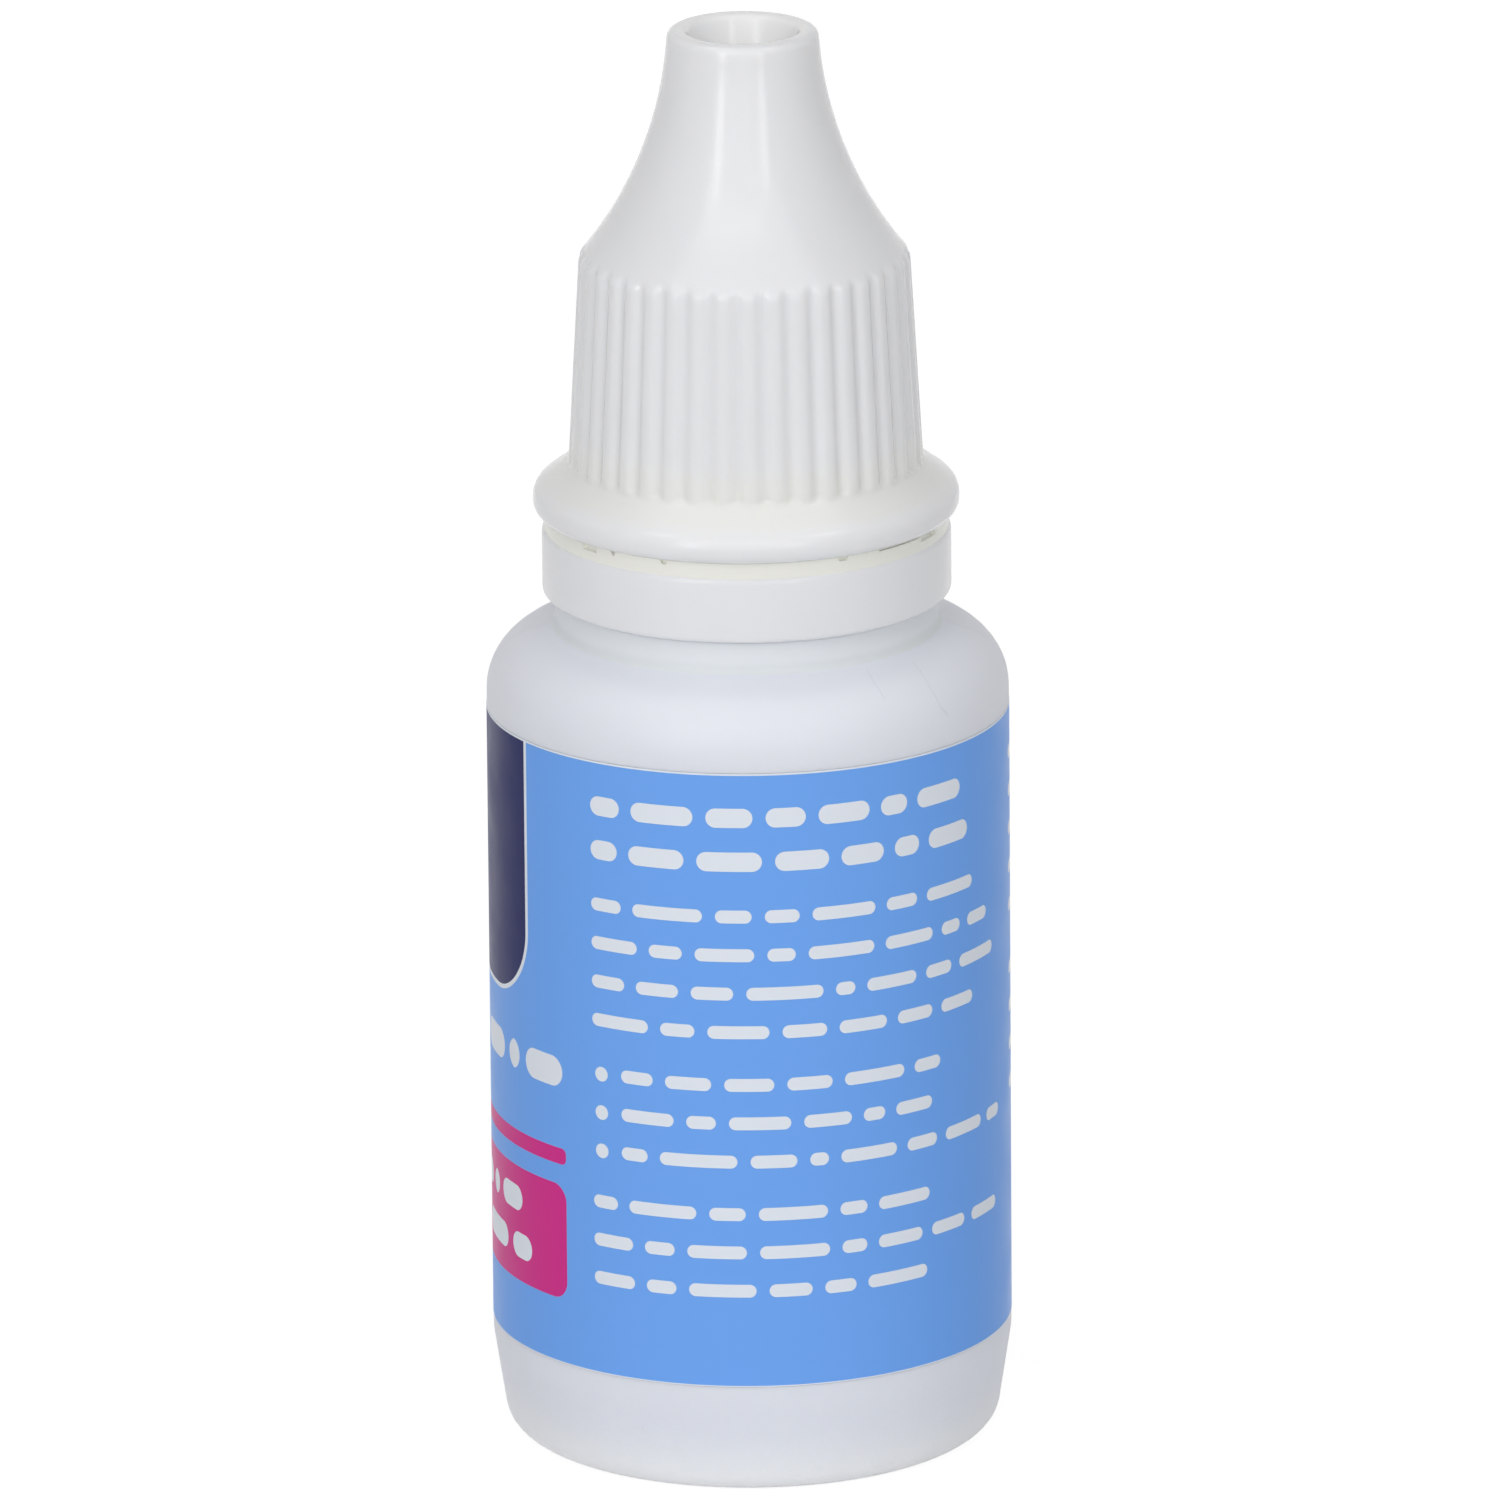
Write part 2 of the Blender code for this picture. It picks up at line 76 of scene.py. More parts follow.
# Bottle body, as packed
BODY_RADIUS = 12.4 * MM
BODY_WALL = 1.0 * MM
HEEL_RADIUS = 11.65 * MM
HEEL_RISE = 4.85 * MM
HEEL_ROUND = 1.4 * MM
FLANK_ROUND = 3.0 * MM
STAND_RADIUS = 9.4 * MM
PUSH_UP_HEIGHT = 0.9 * MM
PUSH_UP_RUN = 1.6 * MM
SHOULDER_HEIGHT = 39.8 * MM
SHOULDER_EDGE = 38.75 * MM
SHOULDER_ROUND = 2.95 * MM
PANEL_DEPTH = 0.1 * MM
PANEL_GAP = 0.02 * MM

# Bottle neck, as packed, but for a collar that reaches almost to the ring
COLLAR_RADIUS = 9.1 * MM
COLLAR_TOP = 41.33 * MM
COLLAR_FILLET = 0.5 * MM
COLLAR_EDGE = 0.12 * MM
COLLAR_WALL = 1.6 * MM
GUIDE_RADIUS = 7.3 * MM
LATCH_RADIUS = 8.4 * MM
LATCH_FOOT = 43.2 * MM
LATCH_LAND = 0.4 * MM
LATCH_LEAD_IN = 1.6 * MM
LATCH_ROUND = 0.15 * MM
NECK_RADIUS = 6.25 * MM
NECK_TOP = 55.0 * MM
NECK_ROUND = 0.3 * MM
BORE_RADIUS = 4.6 * MM
BORE_DEPTH = 10.5 * MM

# Thread on the neck and in the cap
THREAD_SINK = 0.15 * MM
THREAD_FADE = radians(28)
THREAD_SHOULDER_DROP = 0.18
THREAD_SHOULDER_RUN = 0.09
NECK_THREAD_START = 47.9 * MM
THREAD_AZIMUTH = radians(200)
CAP_THREAD_ROOT = 6.98 * MM
CAP_THREAD_LAG = 0.78 * MM

# Wear, skin, painted light and painted shade of the bottle. Scratches are bent lines seen from above, as
# (east, north) in mm.
# An edge is where a mark is still whole and where it ends.
HAIR_WIDTH = 0.045
HAIR_SCRATCHES = (
    ((7.80, -6.38), (8.58, -7.75), (9.06, -8.07), (9.40, -7.92)),
    ((5.62, -7.91), (5.98, -8.93), (6.44, -9.60)),
)
SCRATCH_GREY = (0.42, 0.43, 0.46)
SCRATCH_STRENGTH = 0.16
SCRATCH_DEPTH = 0.2
SPECK_SPACING = 2.6 * MM
SPECK_EDGE = (0.018, 0.034)
SPECK_BROWN = (0.16, 0.12, 0.09)
SPECK_STRENGTH = 0.4
# Painted shade: a grey-green band in the crease where the collar meets the shoulder, under the ring
NECK_CREASE_SHADE_GREY = (0.58, 0.62, 0.58)
NECK_CREASE_SHADE_STRENGTH = 0.2
NECK_CREASE_SHADE_RISE = 0.15 * MM
NECK_CREASE_SHADE_EDGE = (0.05 * MM, 0.45 * MM)
HEEL_GRAIN_DROPS = (0.5 * MM, 1.5 * MM)
RELIEF_DEPTH = 0.03 * MM
MOULD_LINE_EDGE = (0.02 * MM, 0.08 * MM)
# Painted light: the bottle is painted paler towards its base, up to a height, by a share
HEEL_PAINTED_LIGHT = (0.94, 0.955, 0.98)
HEEL_PAINTED_LIGHT_TOP = 3.5 * MM
HEEL_PAINTED_LIGHT_SHARE = 0.9
# Painted shade: the collar under the ring is tinted greener and less blue than the rest of the bottle
COLLAR_SHADE_TINT = (0.88, 0.92, 0.93)
COLLAR_SHADE_TINT_SHARE = 0.6

# Ridge on the base, where the blow mould pinched the tube off
PINCH_LENGTH = 9.0 * MM
PINCH_WIDTH = 0.5 * MM
PINCH_HEIGHT = 0.18 * MM
PINCH_STEPS = 24
PINCH_END = 0.98
PINCH_EDGE_SHARE = 0.5
PINCH_CREST_SHARE = 0.4

# Tamper ring, as packed
RING_FOOT = 41.45 * MM
RING_TOP = 44.7 * MM
RING_RADIUS = 9.7 * MM
RING_INNER_RADIUS = 8.8 * MM
RING_TOP_ROUND = 0.4 * MM
RING_FOOT_ROUND = 0.25 * MM
LUG_COUNT = 8
LUG_WIDTH = radians(15)
LUG_FLANK = radians(2.5)
LUG_RADIUS = 7.75 * MM
LUG_LEAD_IN = 0.5 * MM
LUG_HEIGHT = 1.0 * MM
LUG_TOP_GAP = 0.3 * MM
LUG_TOP_STEP = 4 * MERGE_DISTANCE

# Thin web that joins the ring to the cap, and the notches in its outer face below the cap: azimuth and
# width in degrees, and depth as a share of the web's height
WEB_OUTER_RADIUS = 9.58 * MM
WEB_NOTCH_RADIUS = 9.4 * MM
WEB_INNER_RADIUS = 9.0 * MM
WEB_EDGE = 0.01 * MM
WEB_SINK = 0.12 * MM
WEB_STEP = 3
SLIT_RAMP = 0.6
SLITS = (
    (-50.6, 7.0, 0.5), (-41.0, 1.9, 0.34), (-24.0, 2.4, 0.34), (28.2, 3.4, 0.34), (49.5, 18.5, 0.16),
    (63.8, 9.9, 0.56), (96.0, 5.0, 0.4), (127.0, 9.0, 0.5), (158.0, 3.0, 0.34), (186.0, 9.0, 0.5),
    (217.0, 3.0, 0.34), (246.0, 9.0, 0.5), (278.0, 5.0, 0.4),
)

# Dropper insert, as packed
FLANGE_FOOT = 55.3 * MM
FLANGE_TOP = 56.0 * MM
FLANGE_RADIUS = 6.1 * MM
FLANGE_ROUND = 0.2 * MM
TIP_TOP = 62.9 * MM
NOZZLE_FOOT_RADIUS = 4.3 * MM
NOZZLE_WAIST_RADIUS = 2.4 * MM
NOZZLE_WAIST_HEIGHT = 3.8 * MM
NOZZLE_TIP_RADIUS = 1.9 * MM
NOZZLE_TIP_ROUND = 0.4 * MM
NOZZLE_BLEND = 0.6 * MM
ORIFICE_RADIUS = 0.9 * MM
ORIFICE_DEPTH = 1.5 * MM
METERING_RADIUS = 0.35 * MM
METERING_LENGTH = 1.0 * MM
WELL_TOP_RADIUS = 1.2 * MM
WELL_FOOT_RADIUS = 3.0 * MM
BARREL_RADIUS = 4.05 * MM
BARREL_LENGTH = 8.5 * MM
BARREL_CHAMFER = 0.5 * MM
SEAL_RIB_RADIUS = 4.3 * MM
SEAL_RIB_HEIGHT = 0.7 * MM
SEAL_RIB_DROPS = (1.6 * MM, 5.2 * MM)

# Screw cap, as packed
CAP_FOOT = 45.35 * MM
BEAD_RADIUS = 10.1 * MM
BEAD_FOOT_ROUND = 0.75 * MM
BEAD_EDGE_HEIGHT = 1.15 * MM
BEAD_EDGE_ROUND = 0.8 * MM
SKIRT_FOOT = 47.78 * MM
SKIRT_TOP = 57.8 * MM
SKIRT_FOOT_RADIUS = 8.36 * MM
SKIRT_TOP_RADIUS = 7.79 * MM
SKIRT_FOOT_FILLET = 0.4 * MM
SKIRT_TOP_ROUND = 0.75 * MM
CAP_TOP = 68.8 * MM
NOSE_TOP_RADIUS = 3.57 * MM
NOSE_ARC_RADIUS = 18.9 * MM
NOSE_STEPS = 26
CAVITY_STEPS = 8
RIM_OUTER_ROUND = 0.45 * MM
RIM_INNER_ROUND = 0.4 * MM
CAP_BORE_FOOT_RADIUS = 7.05 * MM
CAP_BORE_TOP_RADIUS = 6.85 * MM
CAP_BORE_CHAMFER = 0.3 * MM
CAP_CEILING = 56.3 * MM
CAVITY_RADIUS = 5.4 * MM
NOSE_WALL = 1.4 * MM
WEB_FOOT = 63.2 * MM
PIN_RADIUS = 0.6 * MM
PIN_LENGTH = 1.2 * MM
PIN_ROUND = 0.25 * MM
RECESS_FLOOR = 64.2 * MM
RECESS_MOUTH_RADIUS = 2.68 * MM
RECESS_WAIST_RADIUS = 2.15 * MM
RECESS_WAIST_DROP = 1.7 * MM
RECESS_WAIST_ROUND = 0.6 * MM
RECESS_FLOOR_RADIUS = 2.0 * MM
RECESS_FLOOR_ROUND = 0.5 * MM
# Painted light: the recess is painted paler, for light that comes through the cap's thin top
RECESS_PAINTED_LIGHT = (0.985, 0.99, 0.985)
RECESS_PAINTED_LIGHT_SHARE = 0.9
RECESS_PAINTED_LIGHT_INSET = 0.2 * MM
GATE_RADIUS = 0.55 * MM
GATE_FLARE = 1.15
GATE_HEIGHT = 0.12 * MM

# Grip ribs of the cap
RIB_AZIMUTH = radians(1.4)
GROOVE_FOOT = 47.68 * MM
GROOVE_TOP = 58.25 * MM
GROOVE_FOOT_FADE = 0.4 * MM
GROOVE_TOP_FADE = 0.65 * MM
RIB_END_LENGTH = 1.2 * MM
RIB_END_STEP = 0.09 * MM
RIB_LONG_STEP = 0.9 * MM

# Painted shade: a warm tint of bounced light in the crease above the bead. How far over the skirt's foot it
# comes in and goes out
CREASE_SHADE_IN = (-1.3 * MM, -0.5 * MM)
CREASE_SHADE_OUT = (0.6 * MM, 2.2 * MM)
CREASE_SHADE_SHARE = 0.5

# Label
LABEL_FOOT = 5.6 * MM
LABEL_HEIGHT = 30.3 * MM
SEAM_WIDTH = 1.0 * MM
SEAM_AZIMUTH = radians(170)

# Print on the label. Places are in millimetres: along the strip from its front, and up from its foot.
# A box is its left, foot, right and top, and the radius of its corners.
PANEL_BOX = (-32.6, 17.2, -12.5, 40.0, 3.6)
ACCENT_BOXES = ((-31.0, 3.2, -9.75, 8.9, 0.9), (-31.0, 9.9, -9.75, 10.7, 0.3))
DATE_BOX = (20.5, 3.4, 33.0, 8.2, 0.6)
DROP_PLACE = (-22.6, 22.6)
DROP_RADIUS = 2.7
DROP_TIP = 6.2
FILM_TOP_EDGE = 0.09
FILM_FOOT_EDGE = 0.06
WORD_LENGTH = 2.9
WORD_JITTER = 0.32
WORD_SPACE = 0.62
SHORTEST_LINE_SHARE = 0.62
# Rows of print as (left, highest line's top, right, lines, line pitch, bar height, seed)
PRINT_ROWS = (
    (-8.0, 28.6, 15.2, 2, 2.15, 0.95, 3.0),
    (-8.0, 23.6, 15.4, 4, 1.9, 0.64, 11.0),
    (-6.4, 15.3, 15.0, 3, 1.9, 0.64, 5.0),
    (-8.0, 8.9, 14.6, 3, 1.9, 0.64, 8.0),
    (-29.4, 15.2, -10.4, 1, 2.4, 1.5, 21.0),
    (-29.4, 7.9, -10.9, 2, 2.3, 1.25, 27.0),
    (17.9, 28.3, 34.6, 5, 1.9, 0.64, 33.0),
    (17.9, 17.6, 34.6, 4, 1.9, 0.64, 38.0),
)
BULLETS = ((-7.5, 14.9), (-7.5, 13.0), (-7.5, 11.1))
BULLET_RADIUS = 0.36

# Lights. A wide light is its foot, its head and its width, in metres.
LIT_HEIGHT = 35 * MM
STRIP_PLACES = ((-360 * MM, 600 * MM), (310 * MM, 640 * MM))
STRIP_WIDTH = 120 * MM
STRIP_FOOT = 35 * MM
STRIP_HEAD = 490 * MM
RAIL_FOOT = Vector((400, -187, 702)) * MM
RAIL_HEAD = Vector((376, -94, 735)) * MM
RAIL_WIDTH = 50 * MM
TOP_LIGHT = (Vector((0, -0.9, 0.69)), Vector((0, 0.18, 1.12)), 1.5)
FRONT_LIGHT = (Vector((-0.25, -1.27, -0.4)), Vector((-0.19, -0.96, 1.15)), 1.3)

# Photograph's camera: its square frame in pixels and its sensor in millimetres
FRAME_PIXELS = 1500
SENSOR_WIDTH = 36.0


def colour_property(name, description, srgb):
    return bpy.props.FloatVectorProperty(
        name=name, description=description, subtype="COLOR", size=3, min=0, max=1,
        default=[linear(channel) for channel in srgb],
    )


def number_property(name, description, default, **kind):
    return bpy.props.FloatProperty(name=name, description=description, default=default, **kind)


def length_property(name, description, default):
    return number_property(name, description, default, unit="LENGTH", subtype="DISTANCE", precision=5)


def share_property(name, description, default):
    return number_property(name, description, default, min=0, max=1, subtype="FACTOR")


def group_property(kind, name, description):
    return bpy.props.PointerProperty(type=kind, name=name, description=description)


def linear(channel):
    """Linear value of one 8-bit sRGB channel."""
    share = channel / 255
    return share / 12.92 if share <= 0.04045 else ((share + 0.055) / 1.055) ** 2.4


class BottleSettings(bpy.types.PropertyGroup):
    colour: colour_property("Colour", "Colour of the soft bottle plastic", (237, 240, 249))
    roughness: share_property("Roughness", "Roughness of the bottle's satin skin", 0.42)
    grain: length_property("Grain", "Depth of the blasted grain on the bottle", 0.006 * MM)
    thread_pitch: length_property("Thread pitch", "Rise of both threads in a turn", 3.0 * MM)
    thread_turns: number_property("Thread turns", "Turns of thread on the neck", 1.6, min=0.25, max=3)
    thread_height: length_property("Thread height", "How far the thread stands proud", 0.45 * MM)
    thread_width: length_property("Thread width", "Width of the thread at its foot", 1.1 * MM)
    thread_land: length_property("Thread land", "Width of the thread at its crest", 0.45 * MM)


class InsertSettings(bpy.types.PropertyGroup):
    colour: colour_property("Colour", "Colour of the dropper insert", (240, 242, 244))
    roughness: share_property("Roughness", "Roughness of the dropper insert", 0.38)


class LabelSettings(bpy.types.PropertyGroup):
    ground: colour_property("Ground", "Blue of the label's ground", (119, 176, 254))
    panel: colour_property("Panel", "Navy of the panel", (33, 38, 96))
    accent: colour_property("Accent", "Magenta of the accents", (220, 52, 146))
    print_colour: colour_property("Print", "White of the print and the film's cut edge", (238, 244, 253))
    roughness: share_property("Roughness", "Roughness of the printed film", 0.34)
    gloss: share_property("Gloss", "Strength of the printed film's gloss", 0.08)
    thickness: length_property("Thickness", "Thickness of the film", 0.115 * MM)
    keyline: length_property("Keyline", "Width of the line round the panel", 0.22 * MM)


class RingSettings(bpy.types.PropertyGroup):
    colour: colour_property("Colour", "Colour of the ring", (243, 244, 247))
    # Painted light: the web is paler and warmer than the ring, for light that comes through it
    web_painted_light_colour: colour_property("Web", "Colour of the thin web, which light comes through", (251, 251, 243))
    roughness: share_property("Roughness", "Roughness of the ring", 0.22)
    web_height: length_property("Web height", "How far the web reaches from the ring to the cap", 0.635 * MM)


class CapSettings(bpy.types.PropertyGroup):
    colour: colour_property("Colour", "Colour of the screw cap", (241, 242, 244))
    # Painted shade: the warm tint of bounced light in the crease above the bead
    crease_shade_colour: colour_property("Crease", "Tint of the crease under the ribs", (242, 242, 234))
    roughness: share_property("Roughness", "Roughness of the screw cap", 0.15)
    ribs: bpy.props.IntProperty(name="Ribs", description="Grip ribs round the cap", default=40, min=8, max=80)
    groove_depth: length_property("Groove depth", "Depth of the grooves between the ribs", 0.17 * MM)
    rib_crown: length_property("Rib crown", "How far the ribs stand proud of the skirt", 0.04 * MM)


class StageSettings(bpy.types.PropertyGroup):
    distance: length_property("Camera distance", "From the camera to the point aimed at", 1000 * MM)
    aim_height: length_property("Aim height", "Height on the axis of the point aimed at", 20.77 * MM)
    elevation: number_property("Camera elevation", "Slope up to the camera", radians(17.36), subtype="ANGLE")
    roll: number_property("Camera roll", "Lean of the picture", radians(-0.445), subtype="ANGLE")
    focal_pixels: number_property("Focal length", "Focal length in pixels of the square picture", 20968)
    aim_drop: number_property("Aim drop", "Pixels from the picture's middle down to the aim point", 253)
    side_shift: length_property("Side shift", "How far the camera stands to the right", 0.084 * MM)
    sky: share_property("Sky", "Strength of the even light from all round", 0.197)
    strip_power: number_property("Strip lights", "Power of each upright strip", 0.45, unit="POWER")
    rail_power: number_property("Rail lights", "Power of each short high rail", 0.15, unit="POWER")
    top_power: number_property("Top light", "Power of the light over the bottle", 4.35, unit="POWER")
    front_power: number_property("Front light", "Power of the light behind the camera", 4.8, unit="POWER")
    floor_lift: share_property("Floor lift", "Share of plain white in the floor that the camera sees", 0.75)


class DropperBottle(bpy.types.PropertyGroup):
    bottle: group_property(BottleSettings, "Bottle", "Bottle and thread")
    insert: group_property(InsertSettings, "Insert", "Dropper insert")
    label: group_property(LabelSettings, "Label", "Label and its print")
    ring: group_property(RingSettings, "Ring", "Tamper ring")
    cap: group_property(CapSettings, "Cap", "Screw cap")
    stage: group_property(StageSettings, "Stage", "Camera, lights and floor")


def overload(operation, reflected=False):
    """An operator between two numbers, one of which changes over a surface. It adds a Math node."""
    def operator(self, other):
        return self.maths(operation, *((other, self) if reflected else (self, other)))
    return operator


class Field:
    """A number that changes over a surface. Sums written with it add Math nodes."""

    def __init__(self, nodes, socket):
        self.nodes = nodes
        self.socket = socket

    def maths(self, operation, *terms):
        return self.nodes.add("ShaderNodeMath", {"operation": operation}, dict(enumerate(terms)))

    __add__ = __radd__ = overload("ADD")
    __sub__ = overload("SUBTRACT")
    __rsub__ = overload("SUBTRACT", reflected=True)
    __mul__ = __rmul__ = overload("MULTIPLY")
    __truediv__ = overload("DIVIDE")
    __rtruediv__ = overload("DIVIDE", reflected=True)
    __lt__ = overload("LESS_THAN")
    __gt__ = overload("GREATER_THAN")
    __and__ = __rand__ = overload("MINIMUM")
    __or__ = __ror__ = overload("MAXIMUM")

    def __abs__(self):
        return self.maths("ABSOLUTE", self)

    def floor(self):
        return self.maths("FLOOR", self)

    def root(self):
        return self.maths("SQRT", self)


class Nodes:
    """A node tree that is filled from Python."""

    def __init__(self, tree):
        self.tree = tree

    def add(self, kind, settings=None, values=None, output=0):
        """Make a node from its type, its settings and its sockets' values or links."""
        node = self.tree.nodes.new(kind)
        for name, value in (settings or {}).items():
            setattr(node, name, value)
        for socket, value in (values or {}).items():
            self.feed(node.inputs[socket], value)
        return Field(self, node.outputs[output])

    def feed(self, socket, value):
        if isinstance(value, Field):
            self.tree.links.new(value.socket, socket)
        else:
            socket.default_value = value

    def place(self):
        """Where a point lies on the piece, in the part's frame."""
        return self.add("ShaderNodeTexCoord", output="Object")

    def apart(self, vector):
        """The three numbers of a vector."""
        axes = ("X", "Y", "Z")
        return [self.add("ShaderNodeSeparateXYZ", values={"Vector": vector}, output=axis) for axis in axes]

    def together(self, x, y, z):
        return self.add("ShaderNodeCombineXYZ", values={"X": x, "Y": y, "Z": z})

    def noise(self, vector, size, detail):
        """Cloudy noise from 0 to 1 with spots of about a size in metres."""
        values = {"Vector": vector, "Scale": 1 / size, "Detail": detail}
        return self.add("ShaderNodeTexNoise", {"noise_dimensions": "3D"}, values)

    def chance(self, vector):
        """A random number from 0 to 1 for each place."""
        return self.add("ShaderNodeTexWhiteNoise", {"noise_dimensions": "3D"}, {"Vector": vector})

    def fit(self, value, low, high, new_low=0.0, new_high=1.0):
        """A value's range from low to high, stretched smoothly to a new one."""
        return self.add(
            "ShaderNodeMapRange", {"interpolation_type": "SMOOTHSTEP", "clamp": True},
            {"Value": value, "From Min": low, "From Max": high, "To Min": new_low, "To Max": new_high},
        )

    def near(self, value, full, none):
        """1 up to one value, and smoothly down to 0 at another."""
        return self.fit(value, full, none, 1, 0)

    def blend(self, first, second, share):
        """Two colours mixed by a share."""
        return self.add(
            "ShaderNodeMix", {"data_type": "RGBA"}, {0: share, 6: opaque(first), 7: opaque(second)}, output=2
        )

    def paint(self, colour, *layers):
        """A colour with layers over it, each a colour and where it lies."""
        for layer, share in layers:
            colour = self.blend(colour, layer, share)
        return colour

    def bump(self, height, depth, under=None):
        """A normal that a height from 0 to 1 tilts, as deep as a length in metres."""
        values = {"Height": height, "Distance": depth, "Strength": 1.0}
        if under is not None:
            values["Normal"] = under
        return self.add("ShaderNodeBump", values=values, output="Normal")


def opaque(colour):
    return colour if isinstance(colour, Field) else (*colour, 1)


def distance(across, along):
    """How far a place lies from a middle, from its two offsets."""
    return (across * across + along * along).root()


class Finish(Nodes):
    """A material's nodes round its Principled shader."""

    def __init__(self, name):
        self.material = bpy.data.materials.new(name)
        self.material.use_nodes = True
        super().__init__(self.material.node_tree)
        self.shader = self.tree.nodes["Principled BSDF"]

    def set(self, **values):
        for name, value in values.items():
            self.feed(self.shader.inputs[name.replace("_", " ")], value)

    def uneven(self, cloud, roughness, drop):
        """A roughness that goes down by a drop, or up a little, with a cloudy noise."""
        return self.fit(cloud, *CLOUD_GLOSS_RANGE, roughness - drop, roughness + ROUGHNESS_RISE)


def moulded_plastic(name, settings, colour, grain, softness):
    """Moulded polyethylene: slightly uneven colour and gloss, fine grain and shallow sink marks."""
    finish = Finish(name)
    place = finish.place()
    cloud = finish.noise(place, size=7 * MM, detail=3)
    grains = finish.noise(place, size=0.12 * MM, detail=2)
    sinks = finish.noise(place, size=3.2 * MM, detail=1)
    tint = [channel * CLOUD_TINT for channel in colour]
    finish.colour = finish.blend(tint, colour, finish.fit(cloud, *CLOUD_TINT_RANGE))
    finish.relief = finish.bump(grains, grain, finish.bump(sinks, depth=0.02 * MM))
    finish.set(
        Base_Color=finish.colour,
        Roughness=finish.uneven(cloud, settings.roughness, drop=0.04),
        Normal=finish.relief,
        Subsurface_Weight=softness,
        Subsurface_Radius=(1.0, 0.94, 0.86),
        Subsurface_Scale=0.9 * MM,
        IOR=1.5,
    )
    return finish


def side_and_room(corners, index, neighbour):
    """Vector from a corner to its neighbour, and how much of that side the corner's rounding may take."""
    corner = corners[index]
    other = corners[neighbour % len(corners)]
    side = Vector(other[:2]) - Vector(corner[:2])
    return side, side.length * corner[2] / (corner[2] + other[2])


def rounded(corners):
    """Outline points through the corners, each rounding drawn as an arc that fits its two sides."""
    points = []
    for index, (radius, height, rounding) in enumerate(corners):
        corner = Vector((radius, height))
        if not rounding:
            points.append(corner)
            continue
        before, room_before = side_and_room(corners, index, index - 1)
        after, room_after = side_and_room(corners, index, index + 1)
        half_opening = before.angle(after) / 2
        reach = min(rounding / tan(half_opening), room_before, room_after)
        arc_radius = reach * tan(half_opening)
        middle_line = (before.normalized() + after.normalized()).normalized()
        centre = corner + middle_line * hypot(reach, arc_radius)
        first = corner + before.normalized() * reach - centre
        last = corner + after.normalized() * reach - centre
        widest_step = 2 * acos(1 - min(CHORD_ERROR / arc_radius, 0.5))
        steps = max(2, ceil((pi - 2 * half_opening) / widest_step))
        directions = [first.slerp(last, step / steps).normalized() for step in range(steps + 1)]
        points += [centre + direction * arc_radius for direction in directions]
    # A rounding that takes all the room up to the next corner ends on it, and that point is kept once
    return points[:1] + [
        point for before, point in zip(points, points[1:]) if (point - before).length > MERGE_DISTANCE
    ]


def on_circle(radius, azimuth, height):
    return radius * sin(azimuth), -radius * cos(azimuth), height


def azimuths_of(columns):
    return [FULL_TURN * column / columns for column in range(columns)]


def ring_of(radius, height, columns):
    """Points round the axis, or one point where the radius is zero."""
    if radius < MERGE_DISTANCE:
        return [(0, 0, height)]
    return [on_circle(radius, azimuth, height) for azimuth in azimuths_of(columns)]


def turned(outline, columns):
    """A ring of points for each point of an outline."""
    return [ring_of(*point, columns) for point in outline]


def clamp(share):
    return min(1, max(0, share))


def join_rings(mesh, upper, lower):
    """Faces between two rings of corners. One may have a multiple of the other's corners, or be a tip."""
    coarse, fine = sorted((upper, lower), key=len)
    if len(coarse) == 1:
        for index in range(len(fine)):
            mesh.faces.new((coarse[0], fine[index], fine[(index + 1) % len(fine)]))
        return
    run = len(fine) // len(coarse)
    for index, corner in enumerate(coarse):
        fine_side = [fine[(index * run + step) % len(fine)] for step in range(run + 1)]
        mesh.faces.new((corner, *fine_side, coarse[(index + 1) % len(coarse)]))


def mesh_rows(rings, closed):
    """A new mesh with the corners of rings of points, and the first ring again at the end if closed."""
    mesh = bmesh.new()
    rows = [[mesh.verts.new(point) for point in ring] for ring in rings]
    return mesh, rows + rows[:1] if closed else rows


def skin(rings, closed=False):
    """Join rings of points, in order, into one skin."""
    mesh, rows = mesh_rows(rings, closed)
    for upper, lower in zip(rows, rows[1:]):
        join_rings(mesh, upper, lower)
    return mesh


def sweep(sections, closed=False):
    """Join closed sections, in order, into a loop or into a bar with two end faces."""
    mesh, rows = mesh_rows(sections, closed)
    for before, after in zip(rows, rows[1:]):
        for index in range(len(before)):
            follower = (index + 1) % len(before)
            mesh.faces.new((before[index], before[follower], after[follower], after[index]))
    if not closed:
        mesh.faces.new(rows[0])
        mesh.faces.new(rows[-1])
    return mesh


def add_object(name, data):
    """Put a new object with its data into the scene."""
    thing = bpy.data.objects.new(name, data)
    bpy.context.scene.collection.objects.link(thing)
    return thing


def add_mesh(name, mesh, material):
    """Put a mesh of one material into the scene."""
    data = bpy.data.meshes.new(name)
    mesh.to_mesh(data)
    mesh.free()
    data.materials.append(material)
    return add_object(name, data)


def add_piece(name, mesh, material, body, stands_for=None):
    """Turn a mesh, with its faces outwards, into a piece that rides on a body of the frame."""
    bmesh.ops.recalc_face_normals(mesh, faces=mesh.faces)
    if mesh.calc_volume(signed=True) < 0:
        bmesh.ops.reverse_faces(mesh, faces=mesh.faces)
    piece = add_mesh(name, mesh, material)
    piece.data.shade_smooth()
    piece.data.set_sharp_from_angle(angle=SHARP_ANGLE)
    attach(piece, body)
    if stands_for:
        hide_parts(stands_for)


